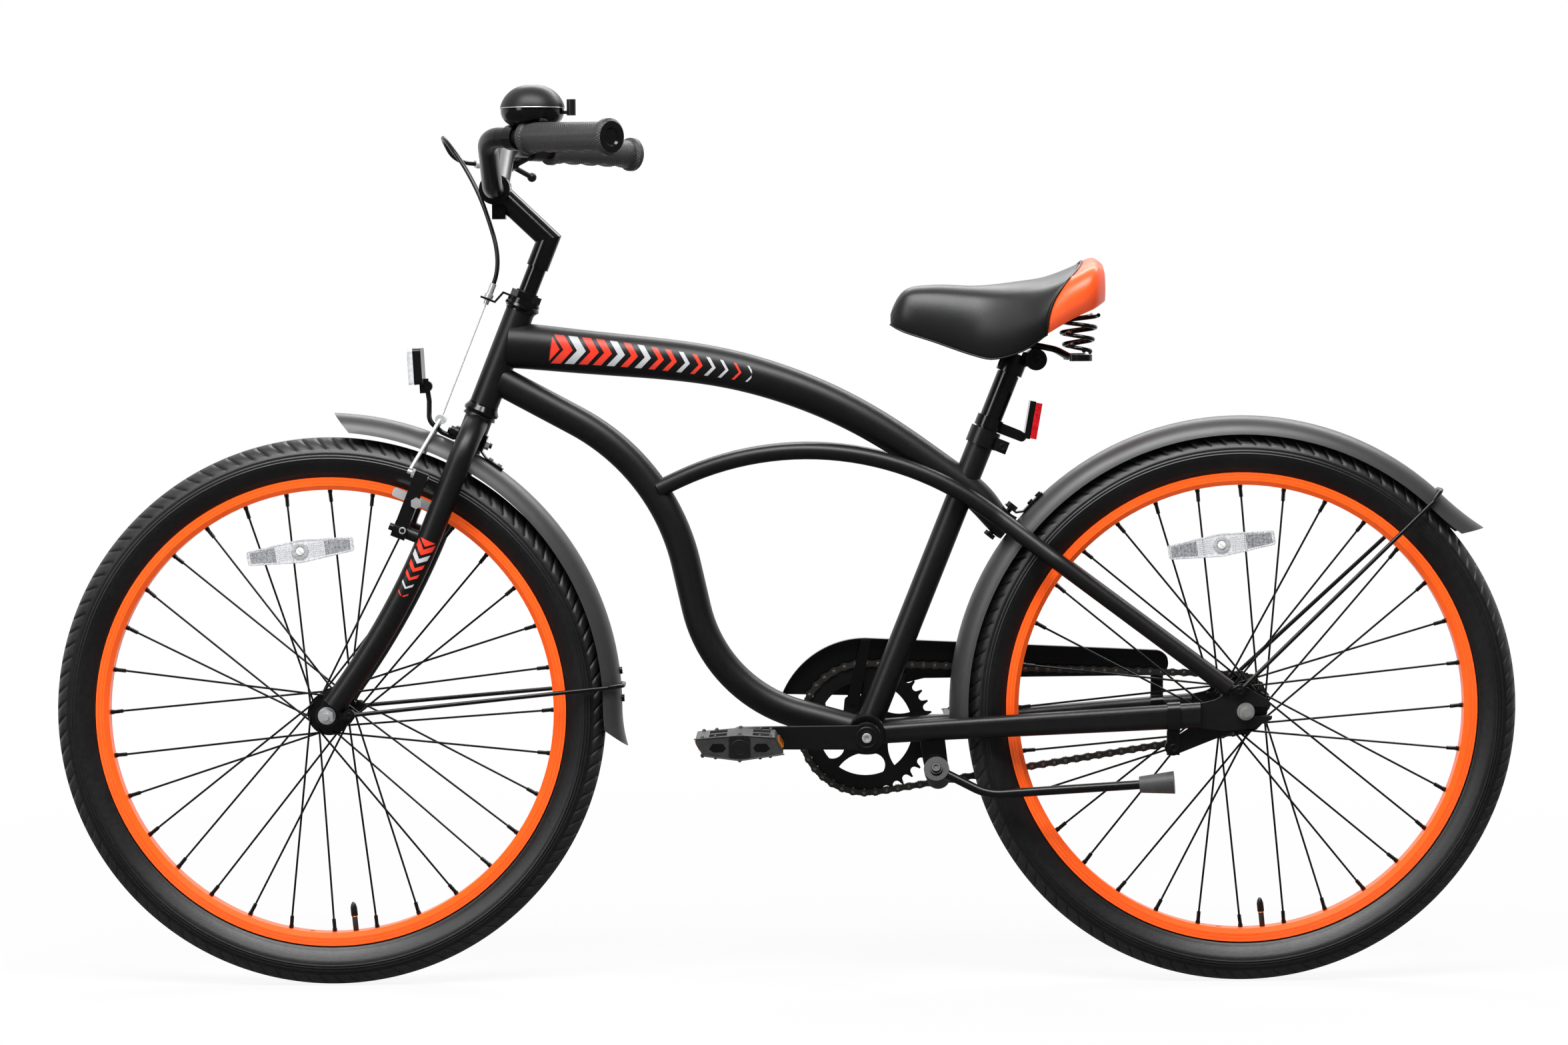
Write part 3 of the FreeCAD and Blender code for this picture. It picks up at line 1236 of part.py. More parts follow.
def make_guard():
    """Guard outside the chain with a folded lip, held by a strap above and a clip on the chainstay."""
    x = bracket.x
    z = bracket.z
    r = guard_front_radius
    rear = rear_hub.x - 92
    rear_top = rear_hub.z + 60

    def rim(inset, y):
        turns = [V(-cos(radians(a)), 0, sin(radians(a))) * (r - inset) for a in (22, 58, 90)]
        a, b, c = [bracket + t + side * y for t in turns]
        d = V(rear, y, rear_top - inset)
        e = V(rear + 16 - inset, y, rear_top - 15)
        f = V(rear + 8, y, rear_top - 29 + inset)
        return a, b, c, d, e, f

    def rim_edges(spots, share=1.0):
        a, b, c, d, e, f = spots
        bend = Part.Arc(d, e, f)
        last = bend.FirstParameter + (bend.LastParameter - bend.FirstParameter) * share
        edges = [Part.Arc(a, b, c).toShape(), Part.LineSegment(c, d).toShape()]
        edges.append(bend.toShape(bend.FirstParameter, last))
        return edges, bend.value(last)

    outer = rim(0, guard_y)
    low_rear = V(x + 66, guard_y, z + 55)
    low_front = V(x - 10, guard_y, z + 36)
    edges, _ = rim_edges(outer)
    for start, end in ((outer[5], low_rear), (low_rear, low_front), (low_front, outer[0])):
        edges.append(Part.LineSegment(start, end).toShape())
    plate = Part.Face(Part.Wire(edges)).extrude(side * guard_sheet)
    inner = rim(guard_sheet, guard_y)
    outer_edges, outer_end = rim_edges(outer, 0.45)
    inner_edges, inner_end = rim_edges(inner, 0.45)
    ends = [Part.makeLine(outer[0], inner[0]), Part.makeLine(outer_end, inner_end)]
    lip_edges = Part.__sortEdges__(outer_edges + inner_edges + ends)
    lip = Part.Face(Part.Wire(lip_edges)).extrude(side * -guard_lip)
    guard = plate.fuse(lip).removeSplitter()

    strap_y = bottom_bracket_width / 2 + 1.3
    strap_sheet = 1.6
    bolt_at = V(x - 15.4, 0, z + 29.4)
    strap_end = strap_y + strap_sheet
    strap_outline = [(x - 23, z + 24), (x - 8, z + 24), (x + 6, z + r - 3), (x - 5, z + r - 3)]
    strap = prism(strap_outline, [4, 4, 0, 0], strap_y, strap_end)
    over = Part.makeBox(11, 12, strap_sheet, V(x - 5, strap_y, z + r - 3))
    lug_outline = [(x - 26, z + 8), (x - 2, z + 12), (x - 8, z + 36), (x - 23, z + 36)]
    lug = prism(lug_outline, [0, 0, 4, 4], strap_y - 4, strap_y)
    lug = lug.cut(cylinder(bracket - side * 40, bracket + side * 40, bottom_bracket_radius))
    bolt = cylinder(bolt_at + side * (strap_y - 7), bolt_at + side * (strap_y + strap_sheet), 2.5)
    head = cylinder(bolt_at + side * strap_end, bolt_at + side * (strap_end + 2), 4.5)
    bolt = bolt.fuse(head).removeSplitter()
    chainstay = nodes["chainstays"][0]
    band, room = chainstay_clip(rear - 4, 14, chainstay)
    hanger = Part.makeBox(14, 1.4, 42, V(rear - 4, guard_y - 1.4, rear_top - 58))
    clip = max(band.fuse(hanger).cut(room).Solids, key=lambda s: s.Volume)
    add("chain_guard", guard, strap.fuse(over).cut(bolt), lug.cut(bolt), bolt, clip)


def make_saddle():
    """Seatpost with the rear reflector's clamp and arm."""
    post_high = seat_top + seat_way * 66
    post_top = seat_top + seat_way * 90
    post = cylinder(seat_top - seat_way * 150, post_high, seatpost_radius)
    neck = cylinder(post_high, post_top, seatpost_radius - 1.4)
    ring_at = seat_top + seat_way * 1.4
    ring = collar(ring_at, seat_way, 0, 12.5, seatpost_radius + 2.6, seatpost_radius)
    lamp_foot = seat_top + V(47.3, 0, -10.9)
    bends = ((-36, 20), (-9, 9), (-1, 3), (-7, -4), (-38, 8))
    arm = prism([(lamp_foot.x + u, lamp_foot.z + w) for u, w in bends], [0, 5, 4, 5, 0], -4, 4)
    plate = Part.makeBox(6.5, 34, 42, V(-6.5, -17, 0))
    plate.rotate(V(0, 0, 0), side, 10)
    plate.translate(lamp_foot)
    room = cylinder(seat_top - seat_way * 10, seat_top + seat_way * 60, seatpost_radius)
    holder = ring.fuse([arm, plate]).removeSplitter().cut(room)
    holder = max(holder.Solids, key=lambda s: s.Volume)
    add("seatpost", post.fuse(neck).removeSplitter(), holder)
    lens = Part.makeBox(7, 40, 40, V(0, -20, 1))
    lens.rotate(V(0, 0, 0), side, 10)
    lens.translate(lamp_foot)
    add("rear_reflector_lens", lens)
    make_cushion()
    make_saddle_frame(post_high, post_top)
    make_springs()


def cushion_section(x, half, low, high):
    """Closed outline across the saddle: flat below, drawn-in sides, crowned top."""
    belt = low + 0.45 * (high - low)
    shoulder = high - 0.16 * (high - low)
    points = {
        "a": V(x, -0.86 * half, low), "b": V(x, 0.86 * half, low),
        "c": V(x, half, belt), "d": V(x, 0.72 * half, shoulder), "e": V(x, 0, high),
        "f": V(x, -0.72 * half, shoulder), "g": V(x, -half, belt),
    }
    edges = [
        Part.LineSegment(points["a"], points["b"]).toShape(),
        Part.Arc(points["b"], points["c"], points["d"]).toShape(),
        Part.Arc(points["d"], points["e"], points["f"]).toShape(),
        Part.Arc(points["f"], points["g"], points["a"]).toShape(),
    ]
    return Part.Wire(edges)


def make_cushion():
    """Cushion with a narrow nose and wide rear, hollow below, and its rear panel behind a curved seam."""
    stations = [
        (0, 9, 31, 45), (12, 22, 24, 68), (45, 30, 13, 75), (91, 38, -3, 74), (113, 48, -7, 75),
        (146, 68, 3, 79), (170, 83, 20, 83), (200, 93, 38, 94), (222, 88, 48, 104), (234, 66, 56, 97),
    ]
    sections = []
    for x, half, low, high in stations:
        sections.append(cushion_section(saddle_nose_x + x, half, saddle_level + low, saddle_level + high))
    hollow = pan_plate(80)
    hollow.translate(up * -80)
    pockets = []
    for sign in (-1, 1):
        floor = V(spring_x, sign * spring_side_y, spring_base - 10)
        pockets.append(cylinder(floor, V(floor.x, floor.y, spring_pocket_top), spring_pocket_radius))
    body = Part.makeLoft(sections, True, False).cut([hollow] + pockets)
    seam_line = ((226, 130), (206, 93), (178, 61), (170, 41), (169, -10))
    seam = [V(saddle_nose_x + u, -150, saddle_level + w) for u, w in seam_line]
    far = saddle_nose_x + saddle_length + 40
    corners = [seam[4], V(far, -150, seam[4].z), V(far, -150, seam[0].z), seam[0]]
    edges = [Part.Arc(seam[0], seam[1], seam[2]).toShape(), Part.Arc(seam[2], seam[3], seam[4]).toShape()]
    edges += [Part.LineSegment(corners[i], corners[i + 1]).toShape() for i in range(3)]
    rear_zone = Part.Face(Part.Wire(edges)).extrude(side * 300)
    cushion = body.cut(rear_zone)
    panel = body.common(rear_zone)
    print("cushion solids", len(cushion.Solids), "panel solids", len(panel.Solids))
    add("saddle_cushion", cushion)
    add("saddle_rear_panel", panel)


def spring_point(share, base, sign):
    """Centre line of a coil that is wide above and narrow below."""
    turn = 2 * pi * spring_turns * share
    radius = spring_low_radius + (spring_top_radius - spring_low_radius) * share
    return base + V(radius * cos(turn), sign * radius * sin(turn), spring_height * share)


def biarc(start, start_way, end, end_way):
    """Two arcs that leave and arrive along the given directions."""
    gap = end - start
    both = start_way + end_way
    slack = 2 * (1 - start_way.dot(end_way))
    reach = (-gap.dot(both) + sqrt(gap.dot(both) ** 2 + slack * gap.dot(gap))) / slack
    first = start + start_way * reach
    second = end - end_way * reach
    join = (first + second) * 0.5
    edges = []
    for a, corner, b in ((start, first, join), (join, second, end)):
        middle = (a + b) * 0.5
        rise = corner - middle
        angle = (corner - a).getAngle(b - a)
        edges.append(Part.Arc(a, middle + rise * (tan(angle / 2) / tan(angle)), b).toShape())
    return edges


def make_springs():
    springs = []
    for sign in (-1, 1):
        base = V(spring_x, spring_side_y * sign, spring_base)
        count = int(4 * spring_turns)
        step = 1e-5
        spots = []
        for i in range(count + 1):
            way = spring_point(i / count + step, base, sign) - spring_point(i / count - step, base, sign)
            spots.append((spring_point(i / count, base, sign), way.normalize()))
        lead = 2 * spring_wire_radius
        start = spots[0][0] - spots[0][1] * lead
        edges = [Part.LineSegment(start, spots[0][0]).toShape()]
        for here, there in zip(spots, spots[1:]):
            edges.extend(biarc(here[0], here[1], there[0], there[1]))
        edges.append(Part.LineSegment(spots[-1][0], spots[-1][0] + spots[-1][1] * lead).toShape())
        ring = Part.Wire(Part.Circle(start, spots[0][1], spring_wire_radius).toShape())
        springs.append(Part.Wire(edges).makePipeShell([ring], True, False))
        if sign > 0:
            samples = [spring_point(i / 200, base, sign) for i in range(201)]
            half_turn = int(100 / spring_turns)
            gaps = [(samples[i] - samples[j]).Length for i in range(201) for j in range(i + half_turn, 201)]
            print("spring least gap to itself", round(min(gaps) - 2 * spring_wire_radius, 2))
    add("saddle_springs", *springs)


def make_kickstand():
    """Bridge between the chainstays with its pivot boss, and the folded leg with a rubber foot."""
    x = kick_pivot.x
    z = kick_pivot.z
    axis = kick_axis
    bridge = Part.makeBox(33, 60, 6, V(x - 22, -30, bottom_bracket_height))
    outline = [(-20, 44), (8, 44), (12, 10), (9, -10), (-10, -12), (-15, 10)]
    body = prism([(x + u, z + w) for u, w in outline], [0, 0, 6, 8, 8, 6], -20, 6)
    boss = cylinder(kick_pivot + axis * 0.4, kick_pivot + axis * 18, 13.0)
    pin = cylinder(kick_pivot + axis * 5, kick_pivot - axis * 12.4, 4.0)
    head = cylinder(kick_pivot - axis * 12.4, kick_pivot - axis * 15, 7.0)
    eye_room = cylinder(kick_pivot + axis * 0.4, kick_pivot - axis * 30, 17.0)
    body = bridge.fuse(body).cut(eye_room).fuse([boss, pin, head]).removeSplitter()
    body = body.cut(nodes["chainstays"])
    add("kickstand_bracket", max(body.Solids, key=lambda s: s.Volume))
    eye = cylinder(kick_pivot, kick_pivot - axis * 12, 14.0)
    leg = rod([kick_pivot - axis * 8 + V(6, 0, -2), kick_knee, kick_foot], [60], kick_leg_radius)
    pin_room = cylinder(kick_pivot + axis * 20, kick_pivot - axis * 40, 4.0 + running_gap)
    add("kickstand_leg", eye.fuse(leg).removeSplitter().cut(pin_room))
    way = (kick_foot - kick_knee).normalize()
    bore = kick_leg_radius
    long = kick_foot_length
    foot = lathe(kick_foot - way * 8, way, [(0, bore), (8, bore), (8, 0), (long, 0), (long, 12.5), (0, 9.0)])
    add("kickstand_foot", foot)


def make_coaster_arm():
    """Brake reaction arm beside the hub, bolted to a clip round the left chainstay."""
    y0 = -49.3
    y1 = -46.4
    end = V(rear_hub.x - 79, 0, rear_hub.z - 40.5)
    disc = cylinder(rear_hub + side * y0, rear_hub + side * y1, 20.0)
    tip = cylinder(end + side * y0, end + side * y1, 9.0)
    way = (end - rear_hub).normalize()
    square = V(way.z, 0, -way.x)
    corners = [rear_hub + square * 17, end + square * 8.5, end - square * 8.5, rear_hub - square * 17]
    web = prism([(c.x, c.z) for c in corners], 0, y0, y1)
    axle_room = cylinder(rear_hub - side * 90, rear_hub, rear_axle_radius)
    bolt_room = cylinder(end - side * 90, end, 3.0)
    arm = disc.fuse([tip, web]).removeSplitter().cut([axle_room, bolt_room])
    band, room = chainstay_clip(end.x - 7, 14, nodes["chainstays"][2])
    tab = Part.makeBox(14, 3.2, 34, V(end.x - 7, y0 - 3.3, end.z - 8))
    clip = band.fuse(tab).removeSplitter().cut([room, bolt_room])
    clip = max(clip.Solids, key=lambda s: s.Volume)
    bolt = cylinder(end + side * (y0 - 6), end + side * (y1 + 4), 3.0)
    head = cylinder(end + side * (y0 - 7), end + side * (y0 - 3.4), 6.0)
    add("coaster_arm", arm, clip, bolt.fuse(head).removeSplitter())


def strip(points, thickness, y_start, y_end):
    """Bent sheet strip along an XZ polyline, thickened to the left of its run."""
    flat = [V(x, 0, z) for x, z in points]
    offset = []
    for i, here in enumerate(flat):
        ways = []
        if i > 0:
            ways.append((here - flat[i - 1]).normalize())
        if i + 1 < len(flat):
            ways.append((flat[i + 1] - here).normalize())
        normals = [V(-w.z, 0, w.x) for w in ways]
        mean = (normals[0] + normals[-1]).normalize()
        offset.append(here + mean * (thickness / mean.dot(normals[0])))
    outline = [(p.x, p.z) for p in flat + offset[::-1]]
    return prism(outline, 0, y_start, y_end)


def head_plane(pairs):
    """Places given ahead of and along the steering axis, as XZ pairs."""
    spots = [fork_point(along, forward) for forward, along in pairs]
    return [(p.x, p.z) for p in spots]


def top_tube_solid():
    """Curved main tube, tapered towards its tail behind the seat tube."""
    points = [top_tube_front, top_tube_bend, top_tube_crossing, top_tube_tail]
    edges = path(points, [top_tube_bend_radius, top_tube_tail_bend])
    to_crossing = sum(e.Length for e in edges[:3])
    total = sum(e.Length for e in edges)
    sections = []
    done = 0.0
    for edge, shares in zip(edges, ((0, 0.5), (0, 0.25, 0.5, 0.75), (0, 0.5), (0, 0.5), (0, 1))):
        span = edge.LastParameter - edge.FirstParameter
        for share in shares:
            at = edge.FirstParameter + span * share
            distance = done + share * edge.Length
            if distance < to_crossing:
                size = top_tube_front_radius
                size += (top_tube_crossing_radius - size) * distance / to_crossing
            else:
                size = top_tube_crossing_radius
                size += (top_tube_tail_radius - size) * (distance - to_crossing) / (total - to_crossing)
            ring = Part.Circle(edge.valueAt(at), edge.tangentAt(at), size)
            sections.append(Part.Wire(ring.toShape()))
        done += edge.Length
    return Part.makeLoft(sections, True, False)


def make_seat_clamp():
    """Split band at the top of the seat tube with its pinch bolt behind."""
    low = bracket + seat_way * (seat_tube_length - clamp_height)
    outer = seat_tube_radius + 2.8
    band = collar(low, seat_way, 0, clamp_height, outer, seat_tube_radius)
    middle = low + seat_way * (clamp_height / 2 - 2)
    ear = Part.makeBox(15, 20, 14, V(-7.5, -10, -7))
    ear.rotate(V(0, 0, 0), side, seat_angle)
    ear.translate(middle + seat_back * (seat_tube_radius + 7.5))
    room = cylinder(low - seat_way * 5, low + seat_way * (clamp_height + 5), seat_tube_radius)
    slit = Part.makeBox(30, 2, 60, V(0, -1, -30))
    slit.rotate(V(0, 0, 0), side, seat_angle)
    slit.translate(middle + seat_back * (seat_tube_radius - 2))
    bolt_at = middle + seat_back * (seat_tube_radius + 9.5)
    bolt = cylinder(bolt_at - side * 10, bolt_at + side * 13, 3.0)
    head = cylinder(bolt_at - side * 14, bolt_at - side * 10, 5.0)
    bolt_room = cylinder(bolt_at - side * 20, bolt_at + side * 20, 3.0)
    body = band.fuse(ear).cut([room, slit, bolt_room])
    add("seat_clamp", body, bolt.fuse(head).removeSplitter())


def chainstay_clip(x, width, chainstay):
    """Band closed round one chainstay and running along it."""
    boxes = [chainstay.slice(V(1, 0, 0), at)[0].BoundBox for at in (x, x + width)]
    centres = [V(at, b.Center.y, b.Center.z) for at, b in zip((x, x + width), boxes)]
    wide = max(b.YLength for b in boxes) + 0.2
    tall = max(b.ZLength for b in boxes) + 0.2
    run = centres[1] - centres[0]
    return [Part.Face(oval(centres[0], wide + w, tall + w)).extrude(run) for w in (4, 0)]


def pan_plate(thickness):
    """Plan shape of the saddle pan, narrow in front."""
    half = [(30, 11), (87, 23), (125, 36), (168, 56)]
    spots = [V(saddle_nose_x + u, w, pan_height) for u, w in half]
    spots += [V(p.x, -p.y, p.z) for p in reversed(spots)]
    return Part.Face(Part.makePolygon(spots + spots[:1])).extrude(up * thickness)


def make_saddle_frame(post_high, post_top):
    """Pan, two rails from nose to spring seats, and the clamp that holds them on the post."""
    pan = pan_plate(3.0)
    pan.translate(up * -3.0)
    x = saddle_nose_x
    z = saddle_level
    disc_at = V(x + 160, 0, z - 8)
    disc = cylinder(disc_at - side * 23, disc_at + side * 23, 12.0)
    socket = cylinder(post_high + seat_way * 1.0, post_top, seatpost_radius + 2.5)
    web = Part.makeBox(24, 18, 16, V(disc_at.x - 22, -9, disc_at.z - 8))
    room = cylinder(post_high - seat_way * 10, post_top + seat_way * 10, seatpost_radius - 1.4)
    clamp = disc.fuse([socket, web]).removeSplitter().cut(room)
    rails = []
    seats = []
    for sign in (-1, 1):
        points = [V(x + 40, 7, pan_height - 3), V(x + 54, 8.5, z + 18), V(x + 104, 15, z + 7),
                  V(x + 160, 17, z + 7.5), V(x + 182, 22, z + 3),
                  V(spring_x - 8, spring_side_y - 9, z - 6.5)]
        points = [V(p.x, sign * p.y, p.z) for p in points]
        rail = rod(points, [10, 120, 60, 16], 3.5)
        foot = V(spring_x, sign * spring_side_y, spring_base - 2 * spring_wire_radius)
        seat = cylinder(foot - up * 6, foot + up * (spring_wire_radius - 1.0), 12.5)
        rails.append(rail.fuse(seat).removeSplitter())
    clamp = clamp.cut(rails)
    bolt = cylinder(disc_at - side * 27, disc_at - side * 23, 6.0)
    bolt_far = cylinder(disc_at + side * 23, disc_at + side * 27, 6.0)
    pan = pan.cut(rails)
    add("saddle_frame", pan, max(clamp.Solids, key=lambda s: s.Volume), bolt, bolt_far, *rails)


def save_all():
    os.makedirs("parts", exist_ok=True)
    for name, solids in nodes.items():
        bad = [i for i, s in enumerate(solids) if not s.isValid() or s.Volume <= 0]
        print(name, len(solids), "solids", round(sum(s.Volume for s in solids)), "mm3", bad if bad else "")
        shape = solids[0] if len(solids) == 1 else Part.makeCompound(solids)
        shape.exportStep("parts/" + name + ".step")


make_frame()
make_drive()
make_wheel("front", front_hub, front_flange_y, front_flange_radius, front_spoke_circle)
make_wheel("rear", rear_hub, rear_flange_y, rear_flange_radius, rear_spoke_circle)
make_wheel_reflector("front", front_hub, 80.0)
make_wheel_reflector("rear", rear_hub, 83.0)
make_hubs()
make_fork()
make_headset()
make_stem()
make_bar()
make_bell()
cable_start, cable_way = make_brake_lever()
make_cable(cable_start, cable_way)
make_front_brake()
make_fenders()
make_crown_brackets()
make_crank()
make_guard()
make_saddle()
make_kickstand()
make_coaster_arm()
save_all()
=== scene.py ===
from math import atan2, copysign, cos, hypot, pi, radians, sin, sqrt
import bmesh
import bpy
import numpy as np
from mathutils import Matrix, Vector


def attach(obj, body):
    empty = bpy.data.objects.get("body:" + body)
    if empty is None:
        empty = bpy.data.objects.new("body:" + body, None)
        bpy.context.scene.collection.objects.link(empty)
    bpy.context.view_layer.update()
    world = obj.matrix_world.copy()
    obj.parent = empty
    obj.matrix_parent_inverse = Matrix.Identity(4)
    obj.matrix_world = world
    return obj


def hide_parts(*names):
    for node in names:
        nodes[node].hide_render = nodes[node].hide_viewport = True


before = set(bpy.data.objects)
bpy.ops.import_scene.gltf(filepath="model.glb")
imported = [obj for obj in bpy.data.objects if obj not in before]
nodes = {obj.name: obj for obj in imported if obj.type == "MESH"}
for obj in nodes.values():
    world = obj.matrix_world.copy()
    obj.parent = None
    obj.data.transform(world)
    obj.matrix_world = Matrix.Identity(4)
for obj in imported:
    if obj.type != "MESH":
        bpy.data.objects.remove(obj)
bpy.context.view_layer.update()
scene = bpy.context.scene
mm = 0.001
print("frame loaded,", len(nodes), "nodes")


# small helpers for meshes

def addPiece(name, verts, faces, materials, body):
    mesh = bpy.data.meshes.new(name)
    mesh.from_pydata([tuple(v) for v in verts], [], faces)
    mesh.update()
    piece = bpy.data.objects.new(name, mesh)
    scene.collection.objects.link(piece)
    for material in materials:
        mesh.materials.append(material)
    mesh.polygons.foreach_set("use_smooth", [True] * len(mesh.polygons))
    if body:
        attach(piece, body)
    return piece


def gridFaces(rows, columns, wrapRows=False, wrapColumns=False):
    faces = []
    for i in range(rows if wrapRows else rows - 1):
        for j in range(columns if wrapColumns else columns - 1):
            a, b = i * columns, ((i + 1) % rows) * columns
            k = (j + 1) % columns
            faces.append((a + j, a + k, b + k, b + j))
    return faces


def endFaces(rows, sides):
    # flat caps on the first and the last ring of a grid
    last = (rows - 1) * sides
    return [tuple(range(sides))[::-1], tuple(range(last, last + sides))]


def tubeMesh(points, radius, sides=10, closed=False):
    # round bead along a polyline, with flat ends when it is open
    spots = [Vector(p) for p in points]
    count = len(spots)
    verts = []
    normal = None
    for i, spot in enumerate(spots):
        before = spots[i - 1] if closed or i else spot
        after = spots[(i + 1) % count] if closed or i + 1 < count else spot
        way = (after - before).normalized()
        if normal is None:
            normal = way.orthogonal().normalized()
        normal = (normal - way * normal.dot(way)).normalized()
        other = way.cross(normal)
        for k in range(sides):
            turn = 2 * pi * k / sides
            verts.append(spot + normal * (radius * cos(turn)) + other * (radius * sin(turn)))
    faces = gridFaces(count, sides, closed, True)
    return verts, faces if closed else faces + endFaces(count, sides)


def fixNormals(piece, weld=False):
    # a welded shell also gets triangles in its end caps
    work = bmesh.new()
    work.from_mesh(piece.data)
    if weld:
        bmesh.ops.triangulate(work, faces=[f for f in work.faces if len(f.verts) > 4])
        bmesh.ops.remove_doubles(work, verts=work.verts, dist=2e-5)
    bmesh.ops.recalc_face_normals(work, faces=work.faces)
    work.to_mesh(piece.data)
    work.free()


# small shapes in mm, each as (verts, faces, number of its material); axes are origin, u, v and w

def spotsOn(outline, axes):
    origin, u, v, w = axes
    return [origin + u * a + v * b for a, b in outline]


def beadShape(points, radius, mark=0):
    return tubeMesh([p * mm for p in points], radius * mm, 8, True) + (mark,)


def prismShape(outline, start, end, axes, mark=0):
    # flat outline in (u, v) pushed out along w from start to end
    spots = spotsOn(outline, axes)
    verts = [(spot + axes[3] * reach) * mm for reach in (start, end) for spot in spots]
    return verts, endFaces(2, len(outline)) + gridFaces(2, len(outline), False, True), mark


def turned(profile, sides, origin, way, mark=0, ridges=0, ridge=0.0):
    # (along, radius) rows turned about way, with closed ends; a third value makes a row knurled
    turn = Vector((0, 0, 1)).rotation_difference(Vector(way)).to_matrix()
    verts = []
    for z, r, *knurl in profile:
        for k in range(sides):
            angle = 2 * pi * k / sides
            reach = r + (ridge * cos(ridges * angle) if knurl else 0.0)
            spot = Vector((reach * cos(angle), reach * sin(angle), z))
            verts.append((Vector(origin) + turn @ spot) * mm)
    return verts, gridFaces(len(profile), sides, False, True) + endFaces(len(profile), sides), mark


def addMixed(name, shapes, keys, body):
    # joins small shapes into one crisp-edged piece; keys are the finishes their numbers stand for
    verts, faces, marks = [], [], []
    for shapeVerts, shapeFaces, mark in shapes:
        base = len(verts)
        verts += shapeVerts
        faces += [tuple(base + i for i in face) for face in shapeFaces]
        marks += [mark] * len(shapeFaces)
    piece = addPiece(name, verts, faces, [finishes[key] for key in keys.split()], body)
    piece.data.polygons.foreach_set("material_index", marks)
    fixNormals(piece)
    piece.data.set_sharp_from_angle(angle=radians(38))


# small helpers for node trees

def grey(level, blue=0.0):
    return (level, level, level + blue, 1)


colourSockets = ("Colour", "Haze", "Worn", "Shade", "Paint", "Warm", "Pale")


def nodeGroup(name, inputs, outputs):
    group = bpy.data.node_groups.new(name, "ShaderNodeTree")
    for way, labels in (("INPUT", inputs), ("OUTPUT", outputs)):
        for label in labels:
            kind = "NodeSocketColor" if label in colourSockets else "NodeSocketFloat"
            group.interface.new_socket(label, in_out=way, socket_type=kind)
    return group, group.nodes.new("NodeGroupInput").outputs, group.nodes.new("NodeGroupOutput").inputs


def put(tree, kind, values=None, **props):
    node = tree.nodes.new(kind)
    for key, value in props.items():
        setattr(node, key, value)
    for key, value in (values or {}).items():
        if isinstance(value, bpy.types.NodeSocket):
            tree.links.new(value, node.inputs[key])
        else:
            node.inputs[key].default_value = value
    return node


def wire(tree, sockets, values):
    for label, value in values.items():
        tree.links.new(value, sockets[label])


def objectSpot(tree):
    return put(tree, "ShaderNodeTexCoord").outputs["Object"]


def splitSpot(tree, spot):
    return put(tree, "ShaderNodeSeparateXYZ", {0: spot}).outputs


def noise(tree, where, scale, detail=2.0, rough=0.5):
    values = {"Vector": where, "Scale": scale, "Detail": detail, "Roughness": rough}
    return put(tree, "ShaderNodeTexNoise", values).outputs["Fac"]


def calc(tree, operation, first, second=0.0):
    return put(tree, "ShaderNodeMath", {0: first, 1: second}, operation=operation).outputs[0]


def plus(tree, first, second):
    return calc(tree, "ADD", first, second)


def minus(tree, first, second):
    return calc(tree, "SUBTRACT", first, second)


def times(tree, first, second):
    return calc(tree, "MULTIPLY", first, second)


def blend(tree, share, first, second):
    return put(tree, "ShaderNodeMix", {0: share, 6: first, 7: second}, data_type="RGBA").outputs[2]


def ramp(tree, value, low, high):
    # smooth rise from 0 to 1
    values = {0: value, 1: low, 2: high}
    return put(tree, "ShaderNodeMapRange", values, interpolation_type="SMOOTHSTEP").outputs[0]


def spread(tree, share, low, high):
    # 0 to 1 stretched to low and high
    return put(tree, "ShaderNodeMapRange", {0: share, 3: low, 4: high}).outputs[0]


# shared surface effects; scales are cells per metre

skinLook = {"slowScale": 11, "spotScale": 160, "haze": (0.12, 0.5)}


def makeSkinGroup():
    # paint and plating: fine peel, slow changes of gloss, faint haze
    s = skinLook
    inputs = ("Colour", "Haze", "Haze Amount", "Roughness", "Gloss Change", "Peel Scale")
    group, given, out = nodeGroup("finishSkin", inputs, ("Colour", "Roughness", "Height"))
    where = objectSpot(group)
    slow = noise(group, where, s["slowScale"], 3.0)
    spots = noise(group, where, s["spotScale"], 4.0, 0.6)
    haze = times(group, ramp(group, times(group, slow, spots), *s["haze"]), given["Haze Amount"])
    change = times(group, minus(group, plus(group, slow, spots), 1.0), given["Gloss Change"])
    wire(group, out, {
        "Colour": blend(group, haze, given["Colour"], given["Haze"]),
        "Roughness": plus(group, given["Roughness"], change),
        "Height": noise(group, where, given["Peel Scale"]),
    })
    return group


grainLook = {
    "swayScale": 240, "sway": 0.0012, "crease": 0.22, "slowScale": 14, "worn": (0.35, 0.75), "mostWorn": 0.6,
    "glossChange": 0.16, "swell": 0.5,
}


